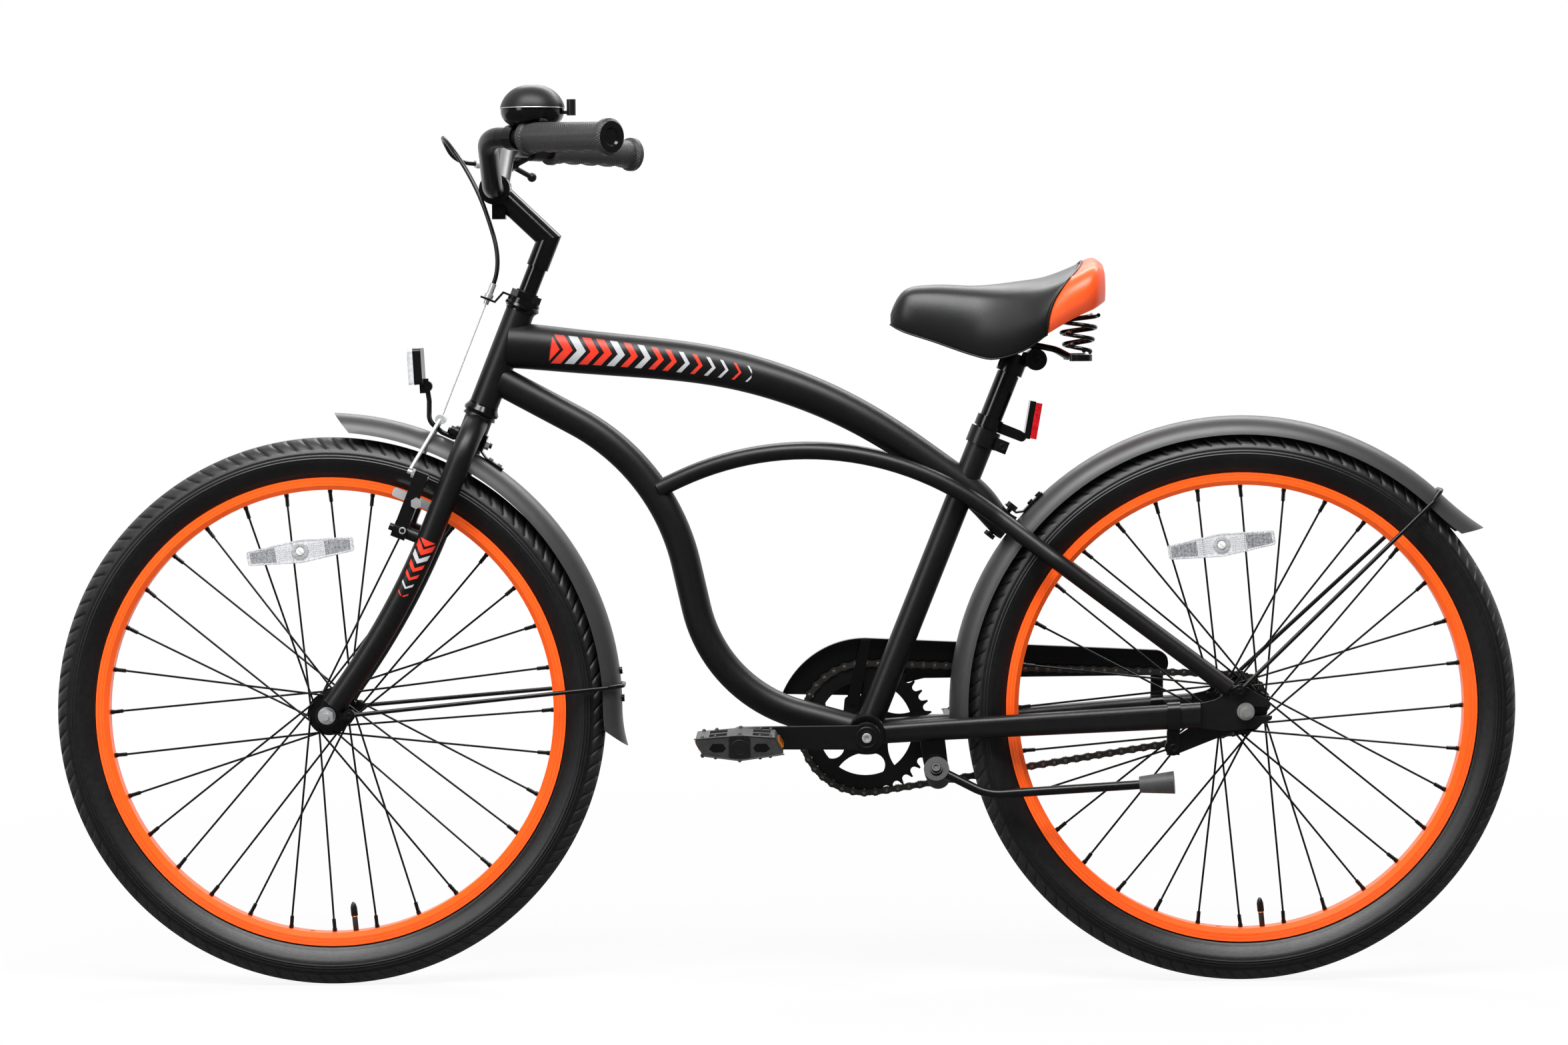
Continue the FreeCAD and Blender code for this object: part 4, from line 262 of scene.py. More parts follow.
def makeGrainGroup():
    # leather-like vinyl: small rounded cells with soft creases between them
    s = grainLook
    inputs = ("Colour", "Worn", "Cell Scale", "Roughness")
    group, given, out = nodeGroup("vinylGrain", inputs, ("Colour", "Roughness", "Height"))
    where = objectSpot(group)
    sway = put(group, "ShaderNodeTexNoise", {"Vector": where, "Scale": s["swayScale"]}).outputs["Color"]
    shift = put(group, "ShaderNodeVectorMath", {0: sway, "Scale": s["sway"]}, operation="SCALE").outputs[0]
    bent = put(group, "ShaderNodeVectorMath", {0: where, 1: shift}, operation="ADD").outputs[0]
    cells = put(group, "ShaderNodeTexVoronoi", {"Vector": bent, "Scale": given["Cell Scale"]},
                feature="DISTANCE_TO_EDGE").outputs["Distance"]
    slow = noise(group, where, s["slowScale"], 3.0)
    worn = times(group, ramp(group, slow, *s["worn"]), s["mostWorn"])
    change = times(group, minus(group, slow, 0.5), s["glossChange"])
    wire(group, out, {
        "Colour": blend(group, worn, given["Colour"], given["Worn"]),
        "Roughness": plus(group, given["Roughness"], change),
        "Height": plus(group, ramp(group, cells, 0.0, s["crease"]), times(group, slow, s["swell"])),
    })
    return group


prismLook = {"scatter": 0.15, "facetShade": (0.15, 0.55), "dim": 0.35, "sparkle": 0.65}


def makePrismGroup():
    # reflector prisms: a tight lattice of small pyramids in the bump, and painted shade in the colour round
    # the edge of each cell, deeper in some cells than in others
    s = prismLook
    group, given, out = nodeGroup("prismLattice", ("Colour", "Shade", "Pitch Scale"), ("Colour", "Height"))
    cells = put(group, "ShaderNodeTexVoronoi", {
        "Vector": objectSpot(group), "Scale": given["Pitch Scale"], "Randomness": s["scatter"],
    }).outputs
    # painted shade: towards its edge each cell blends to the shade colour, by a random amount per cell
    facetShade = ramp(group, cells["Distance"], *s["facetShade"])
    bright = put(group, "ShaderNodeSeparateColor", {0: cells["Color"]}).outputs[0]
    share = times(group, facetShade, plus(group, s["dim"], times(group, bright, s["sparkle"])))
    wire(group, out, {
        "Colour": blend(group, share, given["Colour"], given["Shade"]),
        "Height": cells["Distance"],
    })
    return group


bandLook = {
    "slant": 0.85, "width": 0.78, "thinning": 0.6, "taper": 0.45, "paleStep": 0.382, "paleFrom": 0.58,
    "softBar": 0.06, "softEnd": 0.008, "softEdge": 0.05,
}


def makeBandGroup():
    # trim on the tubes: slanted bars that thin out along the band
    s = bandLook
    inputs = ("Paint", "Warm", "Pale", "Along", "Across", "Count")
    group, given, out = nodeGroup("trimBand", inputs, ("Colour",))
    along = given["Along"]
    wide = calc(group, "ABSOLUTE", given["Across"])
    place = plus(group, times(group, along, given["Count"]), times(group, wide, s["slant"]))
    width = minus(group, s["width"], times(group, along, s["thinning"]))
    bar = ramp(group, minus(group, width, calc(group, "FRACT", place)), 0.0, s["softBar"])
    draw = calc(group, "FRACT", times(group, calc(group, "FLOOR", place), s["paleStep"]))
    pale = calc(group, "GREATER_THAN", draw, s["paleFrom"])
    start = ramp(group, along, 0.0, s["softEnd"])
    end = ramp(group, minus(group, 1.0, along), 0.0, s["softEnd"])
    edge = minus(group, minus(group, 1.0, times(group, along, s["taper"])), wide)
    mask = times(group, times(group, bar, times(group, start, end)), ramp(group, edge, 0.0, s["softEdge"]))
    tint = blend(group, pale, given["Warm"], given["Pale"])
    wire(group, out, {"Colour": blend(group, mask, given["Paint"], tint)})
    return group


skinGroup = makeSkinGroup()
bandGroup = makeBandGroup()
grainGroup = makeGrainGroup()
prismGroup = makePrismGroup()
print("surface effects made")


# finishes

def startMaterial(name, fixed):
    material = bpy.data.materials.new(name)
    material.use_nodes = True
    tree = material.node_tree
    shader = tree.nodes["Principled BSDF"]
    for key, value in fixed.items():
        shader.inputs[key].default_value = value
    return material, tree, shader


def dressed(name, group, values, bump, depth, fixed):
    # a material that takes what varies from a shared effect, and the rest as fixed values
    material, tree, shader = startMaterial(name, fixed)
    effect = put(tree, "ShaderNodeGroup", values, node_tree=group).outputs
    lift = put(tree, "ShaderNodeBump", {"Strength": bump, "Distance": depth, "Height": effect["Height"]})
    wire(tree, shader.inputs, {"Base Color": effect["Colour"], "Normal": lift.outputs["Normal"]})
    if "Roughness" in effect:
        tree.links.new(effect["Roughness"], shader.inputs["Roughness"])
    return material


def skin(name, colour, rough, haze, hazed=0.25, change=0.08, peel=900, bump=0.06, depth=0.0006,
         specular=0.5, metal=0):
    return dressed(name, skinGroup, {
        "Colour": colour, "Haze": haze, "Haze Amount": hazed, "Roughness": rough,
        "Gloss Change": change, "Peel Scale": peel,
    }, bump, depth, {"Specular IOR Level": specular, "Metallic": metal})


def vinyl(name, colour, worn, rough, cells, bump, depth=0.0004):
    values = {"Colour": colour, "Worn": worn, "Cell Scale": cells, "Roughness": rough}
    return dressed(name, grainGroup, values, bump, depth, {})


def lens(name, colour, shade, pitch, bump=0.5, depth=0.001, **fixed):
    values = {"Colour": colour, "Shade": shade, "Pitch Scale": pitch}
    return dressed(name, prismGroup, values, bump, depth, fixed)


# paint, plating, plastic and plain rubber: colour, roughness, haze, and what else is their own
skins = {
    "frameBlack": (grey(0.0038, 0.0004), 0.4, grey(0.01), dict(peel=1500, bump=0.05, specular=0.4)),
    "fenderBlack": (grey(0.03, 0.001), 0.42, grey(0.05), dict(peel=1300, bump=0.08, specular=0.6)),
    "glossBlack": (grey(0.003), 0.15, grey(0.008), dict(change=0.05, peel=500, bump=0.03, specular=0.4)),
    "domeBlack": (grey(0.009, 0.001), 0.4, grey(0.016),
                  dict(change=0.05, peel=700, bump=0.03, specular=0.26)),
    "guardBlack": (grey(0.0022), 0.2, grey(0.006), dict(peel=500, bump=0.03, specular=0.34)),
    "satinBlack": (grey(0.0036), 0.3, grey(0.01), dict(peel=800, bump=0.05, specular=0.38)),
    "spokeBlack": (grey(0.003), 0.32, grey(0.008), dict(peel=700, bump=0.02, specular=0.3)),
    "rimOrange": ((1.0, 0.112, 0.008, 1), 0.34, (1.0, 0.16, 0.03, 1), dict(bump=0.03, specular=0.35)),
    "zinc": ((0.66, 0.67, 0.68, 1), 0.36, grey(0.45), dict(change=0.16, peel=1600, bump=0.05, metal=0.7)),
    "duskZinc": ((0.5, 0.5, 0.49, 1), 0.36, grey(0.25), dict(change=0.16, peel=1600, bump=0.05, metal=0.75)),
    "silver": ((0.8, 0.81, 0.82, 1), 0.34, grey(0.6), dict(change=0.12, peel=2200, metal=0.6)),
    "chainSteel": ((0.15, 0.142, 0.132, 1), 0.36, (0.04, 0.035, 0.03, 1),
                   dict(hazed=0.6, change=0.2, metal=1)),
    "pinSteel": ((0.42, 0.4, 0.37, 1), 0.32, (0.15, 0.13, 0.11, 1), dict(hazed=0.5, change=0.2, metal=1)),
    "darkSteel": ((0.045, 0.042, 0.04, 1), 0.4, (0.109, 0.1024, 0.098, 1), dict(change=0.15, metal=1)),
    "brass": ((0.65, 0.42, 0.16, 1), 0.3, (1.0, 0.934, 0.362, 1), dict(metal=1)),
    "blackPlastic": (grey(0.006), 0.36, grey(0.014), dict(peel=1100, bump=0.1, specular=0.42)),
    "pedalPlastic": (grey(0.024, 0.001), 0.42, grey(0.07), dict(hazed=0.5, peel=700, bump=0.2)),
    "whitePlastic": ((0.82, 0.82, 0.8, 1), 0.35, (0.6, 0.6, 0.58, 1), dict(bump=0.05)),
    "lensShade": (grey(0.5, 0.01), 0.25, grey(0.7), dict(bump=0.05)),
    "tyreSide": (grey(0.0042, 0.0006), 0.42, grey(0.012, 0.001),
                 dict(hazed=0.5, change=0.14, peel=420, bump=0.14)),
    "tyreTread": (grey(0.011, 0.0012), 0.5, grey(0.032), dict(hazed=0.5, change=0.12, peel=800, bump=0.3)),
    "padRubber": (grey(0.012), 0.6, grey(0.0364), dict(peel=700, bump=0.2)),
}

# grained covers and grips: colour, worn colour, roughness, and the grain
vinyls = {
    "saddleVinyl": (grey(0.0045, 0.0006), grey(0.008, 0.001), 0.4, dict(cells=820, bump=0.1)),
    "panelVinyl": ((0.98, 0.085, 0.009, 1), (0.98, 0.12, 0.02, 1), 0.36, dict(cells=820, bump=0.08)),
    "pipingVinyl": (grey(0.008), grey(0.013), 0.36, dict(cells=900, bump=0.05)),
    "gripRubber": (grey(0.026), grey(0.042), 0.46, dict(cells=900, bump=0.55, depth=0.0007)),
    # the foot is greyer than the grips: partly the rubber's own grey and partly a painted sheen
    "footRubber": (grey(0.04), grey(0.075), 0.46, dict(cells=500, bump=0.3)),
}

# reflectors: colour, shade, scale of the prisms, and the shader's own values
lenses = {
    "clearLens": ((0.9, 0.91, 0.93, 1), (0.74, 0.75, 0.78, 1), 160,
                  {"Roughness": 0.1, "Transmission Weight": 0.55, "IOR": 1.49}),
    "prismLens": ((0.42, 0.43, 0.45, 1), (0.04, 0.04, 0.045, 1), 640, {"Roughness": 0.2, "Coat Weight": 0.6}),
    "redLens": ((0.75, 0.012, 0.02, 1), (0.35, 0.002, 0.006, 1), 420, {"Roughness": 0.1, "Coat Weight": 0.5}),
    "amberLens": ((0.6, 0.17, 0.01, 1), (0.3, 0.06, 0.002, 1), 420, {"Roughness": 0.12, "Coat Weight": 0.4}),
}

finishes = {}
for make, table in ((skin, skins), (vinyl, vinyls), (lens, lenses)):
    for name, (*main, own) in table.items():
        finishes[name] = make(name, *main, **own)
print("finishes made:", len(finishes))


# finishes on the rigid pieces
rigidFinish = {
    "frameBlack": "head_tube bottom_bracket_shell seat_tube top_tube down_tube stay_tubes chainstays fork",
    "fenderBlack": "rear_fender front_fender",
    "glossBlack": "bearing_cups stem headset_stack bell_base seatpost saddle_frame saddle_springs "
                  "rear_hub front_hub",
    "domeBlack": "bell_dome",
    "guardBlack": "chain_guard",
    "satinBlack": "handlebar seat_clamp cranks chainring kickstand_bracket kickstand_leg coaster_arm "
                  "crown_bracket rear_fender_stay front_fender_stay brake_arm_right brake_arm_left",
    "spokeBlack": "front_spokes rear_spokes",
    "rimOrange": "front_rim rear_rim",
    "tyreSide": "front_tyre rear_tyre",
    "zinc": "front_axle",
    "duskZinc": "rear_axle",
    "silver": "brake_carrier",
    "darkSteel": "rear_sprocket",
    "chainSteel": "chain",
    "clearLens": "front_reflector_lens front_wheel_reflector rear_wheel_reflector",
    "redLens": "rear_reflector_lens",
    "amberLens": "pedal_left_reflectors pedal_right_reflectors",
    "blackPlastic": "bell_lever brake_bracket brake_lever brake_cable",
    "pedalPlastic": "pedal_left pedal_right",
    "gripRubber": "grips",
    "footRubber": "kickstand_foot",
    "saddleVinyl": "saddle_cushion",
    "panelVinyl": "saddle_rear_panel",
}


def paintNode(name, material):
    mesh = nodes[name].data
    mesh.materials.clear()
    mesh.materials.append(material)
    mesh.polygons.foreach_set("material_index", [0] * len(mesh.polygons))


def solidsOf(name):
    # groups a node's faces into its separate solids: (face numbers, low corner, high corner)
    mesh = nodes[name].data
    spots = np.array([v.co for v in mesh.vertices])
    merged = np.unique(np.round(spots, 6), axis=0, return_inverse=True)[1].reshape(-1)
    parent = list(range(merged.max() + 1))

    def root(i):
        while parent[i] != i:
            parent[i] = parent[parent[i]]
            i = parent[i]
        return i

    for polygon in mesh.polygons:
        first = root(merged[polygon.vertices[0]])
        for corner in polygon.vertices[1:]:
            parent[root(merged[corner])] = first
    found = {}
    for polygon in mesh.polygons:
        found.setdefault(root(merged[polygon.vertices[0]]), []).append(polygon.index)
    solids = []
    for faces in found.values():
        corners = spots[sorted({v for f in faces for v in mesh.polygons[f].vertices})]
        solids.append((faces, corners.min(0) / mm, corners.max(0) / mm))
    return solids


def paintSolids(name, choose):
    # gives single solids of a node another finish
    mesh = nodes[name].data
    for faces, low, high in solidsOf(name):
        key = choose((low + high) / 2, high - low)
        if not key:
            continue
        if mesh.materials.find(key) < 0:
            mesh.materials.append(finishes[key])
        index = mesh.materials.find(key)
        for face in faces:
            mesh.polygons[face].material_index = index


def brakeArmFinish(mid, size):
    longest = max(size)
    if 38 < longest < 44.6 and abs(mid[1]) < 19 and size[1] < 4.8:
        return "padRubber"
    if longest > 36 and size[1] < 5:
        return "silver"
    return "zinc" if longest < 34 else None


# solids that differ from the rest of their node, told apart by their middle and size in mm
solidFinish = {
    "brake_arm_right": brakeArmFinish,
    "brake_arm_left": brakeArmFinish,
    "crown_bracket": lambda mid, size: "zinc" if max(size) < 13 else None,
    "headset_stack": lambda mid, size: "zinc" if max(size) < 30 and mid[0] < -312 else None,
    "brake_bracket": lambda mid, size: "silver" if max(size) < 20 else None,
    "front_axle": lambda mid, size: "satinBlack" if size[1] < 6 else None,
    "chain": lambda mid, size: "pinSteel" if size[1] > 3 else None,
    "cranks": lambda mid, size: "darkSteel" if size[0] < 22 and size[1] > 60 else None,
}

for key, names in rigidFinish.items():
    for name in names.split():
        paintNode(name, finishes[key])
for name, choose in solidFinish.items():
    paintSolids(name, choose)
print("rigid pieces painted")


# trim bars on the top tube and on the outside of the fork blades
trimBands = {
    "warm": (0.8, 0.035, 0.012, 1), "pale": (0.5, 0.51, 0.53, 1),
    "places": {
        "top_tube": {"start": (-258.0, 706.8), "end": (-35.0, 676.9), "bulge": 4.1, "half": 16.5,
                     "count": 15.0, "clear": 0.0},
        "fork": {"start": (-391.4, 498.0), "end": (-420.8, 437.0), "bulge": 0.0, "half": 10.5,
                 "count": 6.0, "clear": 44.0},
    },
}


def makeTrim(node, place):
    *main, own = skins["frameBlack"]
    material = skin(node + "Trim", *main, **own)
    tree = material.node_tree
    base = tree.nodes["Principled BSDF"].inputs["Base Color"]
    first, last = [Vector(place[key]) * mm for key in ("start", "end")]
    way = (last - first).normalized()
    spot = splitSpot(tree, objectSpot(tree))
    x = minus(tree, spot["X"], first.x)
    z = minus(tree, spot["Z"], first.y)
    along = plus(tree, times(tree, x, way.x), times(tree, z, way.y))
    along = calc(tree, "DIVIDE", along, (last - first).length)
    # the middle of the band follows the bow of the tube
    bow = times(tree, along, minus(tree, 1.0, along))
    off = minus(tree, times(tree, z, way.x), times(tree, x, way.y))
    off = minus(tree, off, times(tree, bow, 4 * place["bulge"] * mm))
    across = calc(tree, "ABSOLUTE", calc(tree, "DIVIDE", off, place["half"] * mm))
    # nearer the wheel than clear, the tube stays plain
    inside = calc(tree, "LESS_THAN", calc(tree, "ABSOLUTE", spot["Y"]), place["clear"] * mm)
    across = plus(tree, across, times(tree, inside, 5.0))
    band = put(tree, "ShaderNodeGroup", {
        "Warm": trimBands["warm"], "Pale": trimBands["pale"], "Count": place["count"],
        "Paint": base.links[0].from_socket, "Along": along, "Across": across,
    }, node_tree=bandGroup)
    tree.links.new(band.outputs["Colour"], base)
    paintNode(node, material)


for node, place in trimBands["places"].items():
    makeTrim(node, place)
print("tube trim laid")


# clear bars in the wheels: prism panels, ribs, a bead round the edge and the screw in the middle; the ribs
# and the screw's slot are grey lensShade, a painted shade
reflectorShape = {
    "tilt": 8.0, "half": 59.5, "tall": 13.0, "end": 7.8, "panel": (27.5, 56.0), "margin": 2.6,
    "panelLift": 0.35, "ribs": 7, "ribPitch": 2.3, "ribReach": (10.5, 26.6), "ribHalf": 0.5, "ribLift": 0.3,
    "bead": 0.8, "beadInset": 0.9, "beadReach": 58, "beadStep": 4,
    "boss": 9.6, "screw": 4.3, "slot": (3.4, 0.55),
}


def makeReflector(prefix):
    s = reflectorShape
    _, low, high = solidsOf(prefix + "_wheel_reflector")[0]
    middle = Vector(((low[0] + high[0]) / 2, low[1], (low[2] + high[2]) / 2))
    tilt = radians(s["tilt"])
    u = Vector((cos(tilt), 0, sin(tilt)))
    v = Vector((-sin(tilt), 0, cos(tilt)))
    w = Vector((0, -1, 0))
    axes = (middle, u, v, w)

    def height(at):
        return s["tall"] - (s["tall"] - s["end"]) * abs(at) / s["half"]

    def bar(side, near, far, lift, mark):
        # near and far ends are (place, bottom, top)
        corners = [near[:2], far[:2], far[::2], near[::2]]
        return prismShape([(side * a, b) for a, b in corners][::side], 0.0, lift, axes, mark)

    shapes = []
    for side in (-1, 1):
        near, far = s["panel"]
        a, b = height(near) - s["margin"], height(far) - s["margin"]
        shapes.append(bar(side, (near, -a, a), (far, -b, b), s["panelLift"], 1))
        for k in range(s["ribs"]):
            at = (k - (s["ribs"] - 1) / 2) * s["ribPitch"]
            near, far = s["ribReach"]
            near = max(near, sqrt(max(s["boss"] ** 2 - at * at, 0.0)) + 1.0)
            a, b = at - s["ribHalf"], at + s["ribHalf"]
            shapes.append(bar(side, (near, a, b), (far, a, b), s["ribLift"], 2))
    stops = range(-s["beadReach"], s["beadReach"] + 1, s["beadStep"])
    edge = [(at, height(at) - s["beadInset"]) for at in stops]
    edge += [(-a, -b) for a, b in edge]
    shapes.append(beadShape(spotsOn(edge, axes), s["bead"]))
    r = s["boss"]
    shapes.append(turned(((0, r), (0.7, r), (1.1, r - 0.6), (1.1, 6.0), (0.5, 5.4)), 36, middle, w))
    r = s["screw"]
    shapes.append(turned(((0.4, r), (1.8, r), (2.4, r - 0.8)), 28, middle, w, 3))
    # the slot is a thin grey plate across the screw head: painted shade in place of a cut
    a, b = s["slot"]
    slant = (middle, (u - v).normalized(), (u + v).normalized(), w)
    shapes.append(prismShape([(-a, -b), (a, -b), (a, b), (-a, b)], 2.3, 2.5, slant, 2))
    addMixed(prefix + "ReflectorFace", shapes, "clearLens prismLens lensShade whitePlastic",
             prefix + "_wheel")


makeReflector("front")
makeReflector("rear")
print("wheel reflectors faced")


# bolt heads with a round socket on the cranks, in a dust cap, and on the stand
boltShape = {
    "cap": ((0, 12.4), (1.8, 12.4), (2.4, 11.7), (2.4, 10.0), (1.7, 9.3), (1.7, 8.2), (2.1, 7.8),
            (2.1, 6.6), (1.6, 6.2)),
    "head": ((1.4, 5.4), (3.1, 5.4), (3.6, 4.9), (3.6, 2.9), (2.2, 2.6)),
    "crank": (88.688, 71.0, 279.0), "stand": (165.6, -40.4, 242.6), "standWay": (-0.095, -0.893, 0.44),
}


def makeBolts():
    s = boltShape
    x, y, z = s["crank"]
    for name, side in (("leftCrankBolt", -1), ("rightCrankBolt", 1)):
        seat = ((x, side * y, z), (0, side, 0))
        shapes = [turned(s["cap"], 48, *seat), turned(s["head"], 36, *seat, 1)]
        addMixed(name, shapes, "satinBlack zinc", "crank")
    foot = s["head"][0][0]
    head = turned([(z - foot, r) for z, r in s["head"]], 36, s["stand"], s["standWay"], 1)
    addMixed("standBolt", [head], "satinBlack darkSteel", "frame")


# socket screws: body, finish, and the place and radius of each; they point away from the middle
smallScrews = {
    "brakeScrewLeft": ("left_brake", "zinc", ((-420.0, -53.2, 508.5, 4.0),)),
    "brakeScrewRight": ("right_brake", "zinc", ((-420.0, 53.2, 508.5, 4.0),)),
    "frameScrews": ("frame", "satinBlack", (
        (426.0, -56.2, 264.5, 4.6), (498.0, -70.0, 328.0, 3.7), (498.0, 70.0, 328.0, 3.7),
        (241.5, -14.0, 595.3, 4.2),
    )),
    "forkScrews": ("steering", "satinBlack", ((-480.0, -63.9, 305.5, 3.7), (-480.0, 63.9, 305.5, 3.7))),
    "seatScrews": ("seat", "glossBlack", ((278.0, -27.0, 692.0, 5.0), (278.0, 27.0, 692.0, 5.0))),
}


def makeScrews(name, body, key, screws):
    shapes = []
    for x, y, z, r in screws:
        profile = ((-0.4, r), (1.0, r), (1.5, r - 0.5), (1.5, r * 0.62), (0.5, r * 0.52))
        shapes.append(turned(profile, 28, (x, y, z), (0, copysign(1, y), 0)))
    addMixed(name, shapes, key, body)


makeBolts()
for name, values in smallScrews.items():
    makeScrews(name, *values)
print("bolts set")


# riveted pin ends on both sides of the chain
pinShape = {"radius": 1.9, "sides": 12, "faces": (38.0, 46.0), "stand": 0.6, "leastRoller": 3.0}


def makeChainPins():
    s = pinShape
    r, stand = s["radius"], s["stand"]
    profile = ((-0.1, r), (stand * 0.6, r), (stand, r * 0.6))
    shapes = []
    for _, low, high in solidsOf("chain"):
        if high[1] - low[1] < s["leastRoller"]:
            continue
        x, z = (low[0] + high[0]) / 2, (low[2] + high[2]) / 2
        for y, way in zip(s["faces"], (-1, 1)):
            shapes.append(turned(profile, s["sides"], (x, y, z), (0, way, 0)))
    addMixed("chainPins", shapes, "pinSteel", "frame")


makeChainPins()
print("chain pins riveted")


# pedal ends and studs; the windows are thin dark plates, painted shade where the pedal has holes through it
pedalShape = {
    "leftTip": -49.312, "rightTip": 226.688, "level": 279.0, "inner": 79.0, "outer": 167.0,
    "outline": ((-49, 9), (0, 13), (38, 10.5), (48, -7.5), (0, -14), (-39, -9)), "edge": 0.8,
    "plate": ((-10.5, -11.0), (10.5, -11.0), (11.5, -9.0), (11.5, 9.5), (10.0, 11.0), (-10.0, 11.0),
              (-11.5, 9.5), (-11.5, -9.0)),
    "plateLift": 0.9, "ring": 8.0, "ringBead": 0.45,
    "windowShadow": ((-33, -1.5), (-28, -5), (-18, -5), (-14.5, -1), (-18, 4), (-29, 4)), "shadowLift": 0.2,
    "studs": (-40, -26, 0, 22, 33), "studRadius": 2.2, "studHeight": 2.4, "studInset": 5,
}


def levelOn(first, last, at):
    # height of the line through two corners
    return first[1] + (last[1] - first[1]) * (at - first[0]) / (last[0] - first[0])


def makePedalTrim(name, tip, side, body):
    s = pedalShape
    w = Vector((0, side, 0))
    axes = (Vector((tip, side * s["outer"], s["level"])), Vector((1, 0, 0)), Vector((0, 0, 1)), w)
    shapes = [prismShape(s["plate"], 0.0, s["plateLift"], axes, 1)]
    turns = [k * pi / 18 for k in range(36)]
    ring = spotsOn([(s["ring"] * cos(t), s["ring"] * sin(t)) for t in turns], axes)
    shapes.append(beadShape([spot + w * s["plateLift"] for spot in ring], s["ringBead"], 1))
    # the windows are dark plates just above the face: painted shade in place of the holes
    for flip in (1, -1):
        windowShadow = [(flip * a, b) for a, b in s["windowShadow"]]
        shapes.append(prismShape(windowShadow, 0.0, s["shadowLift"], axes, 2))
    shapes.append(beadShape(spotsOn(s["outline"], axes), s["edge"]))
    topTail, top, topNose, lowNose, low, lowTail = s["outline"]
    profile = ((-1.5, s["studRadius"]), (0.8, s["studRadius"]), (s["studHeight"], 1.1))
    for at in s["studs"]:
        rise = levelOn(top, topTail if at < 0 else topNose, at)
        drop = levelOn(low, lowTail if at < 0 else lowNose, at)
        for y in (s["inner"] + s["studInset"], s["outer"] - s["studInset"]):
            for level, way in ((rise, 1), (drop, -1)):
                spot = (tip + at, side * y, s["level"] + level)
                shapes.append(turned(profile, 12, spot, (0, 0, way)))
    addMixed(name, shapes, "pedalPlastic blackPlastic spokeBlack", body)


makePedalTrim("leftPedalTrim", pedalShape["leftTip"], -1, "left_pedal")
makePedalTrim("rightPedalTrim", pedalShape["rightTip"], 1, "right_pedal")
print("pedals trimmed")


# zigzag ridges and gloss end caps of the grips, and the bright seam of the bell
gripShape = {
    "end": (-180.0, 293.0, 930.0), "way": (0.689, 0.7244, -0.0253), "capDepth": 3.0, "capRadius": 15.5,
    "ridgeWay": (0.689, 0.724), "pitch": 3.2, "foldPitch": 2.4, "foldReach": 3.0, "grain": 0.12,
}
bellSeam = {"middle": (-265.0, -186.0, 964.6), "radius": 34.4, "bead": 0.45}


def ridgeGrips():
    s = gripShape
    tree = finishes["gripRubber"].node_tree
    lift = tree.nodes["Principled BSDF"].inputs["Normal"].links[0].from_node.inputs["Height"]
    grain = times(tree, lift.links[0].from_socket, s["grain"])
    pitch = s["pitch"] * mm
    spot = splitSpot(tree, objectSpot(tree))
    outward = times(tree, calc(tree, "ABSOLUTE", spot["Y"]), s["ridgeWay"][1])
    along = plus(tree, times(tree, spot["X"], s["ridgeWay"][0]), outward)
    fold = calc(tree, "FRACT", calc(tree, "DIVIDE", spot["Z"], pitch * s["foldPitch"]))
    fold = times(tree, calc(tree, "ABSOLUTE", minus(tree, fold, 0.5)), s["foldReach"])
    line = calc(tree, "FRACT", plus(tree, calc(tree, "DIVIDE", along, pitch), fold))
    ridge = ramp(tree, calc(tree, "ABSOLUTE", minus(tree, line, 0.5)), 0.1, 0.4)
    tree.links.new(plus(tree, grain, ridge), lift)


def paintGripCaps():
    s = gripShape
    mesh = nodes["grips"].data
    mesh.materials.append(finishes["glossBlack"])
    end, way = Vector(s["end"]), Vector(s["way"])
    for polygon in mesh.polygons:
        spot = polygon.center / mm
        spot = Vector((spot.x, abs(spot.y), spot.z)) - end
        along = spot.dot(way)
        if along > -s["capDepth"] and (spot - way * along).length < s["capRadius"]:
            polygon.material_index = len(mesh.materials) - 1


def makeBellSeam():
    s = bellSeam
    turns = [k * pi / 36 for k in range(72)]
    line = [Vector(s["middle"]) + Vector((cos(t), sin(t), 0)) * s["radius"] for t in turns]
    addMixed("bellSeam", [beadShape(line, s["bead"])], "zinc", "steering")


ridgeGrips()
paintGripCaps()
makeBellSeam()
print("grips and bell trimmed")


# tyres with slanted shoulder cuts, rings on the sides and a valve; angles run from the belly to the crown
tyreShape = {
    "radius": 305.0, "half": 25.0, "bead": 12.8, "lip": 262.0, "seat": 255.0,
    "cuts": 112, "cutDepth": 1.7, "cutWidth": 1.7, "cutStart": 31.0, "cutEnd": 76.0, "cutLean": 2.1,
    "ringAngles": (4.6, 11.0, 18.7), "ringHeight": 0.45, "ringWidth": 1.3,
}
valveShape = {
    "turn": -90 + 360 / 64, "root": 254.0, "sides": 36, "knurls": 18, "knurl": 0.16,
    "parts": {
        "ValveStem": ("padRubber", ((0, 3.0), (21.5, 3.0), (22.5, 2.6), (24.5, 2.6))),
        "ValveRing": ("brass", ((22.6, 3.1), (22.6, 3.3), (23.4, 3.3), (23.4, 3.1))),
        "ValveCap": ("blackPlastic", ((23.6, 3.2), (24.2, 3.6, 1), (33.0, 3.5, 1), (34.0, 3.4), (36.5, 2.8),
                                      (38.6, 1.6), (39.4, 0.5))),
    },
}


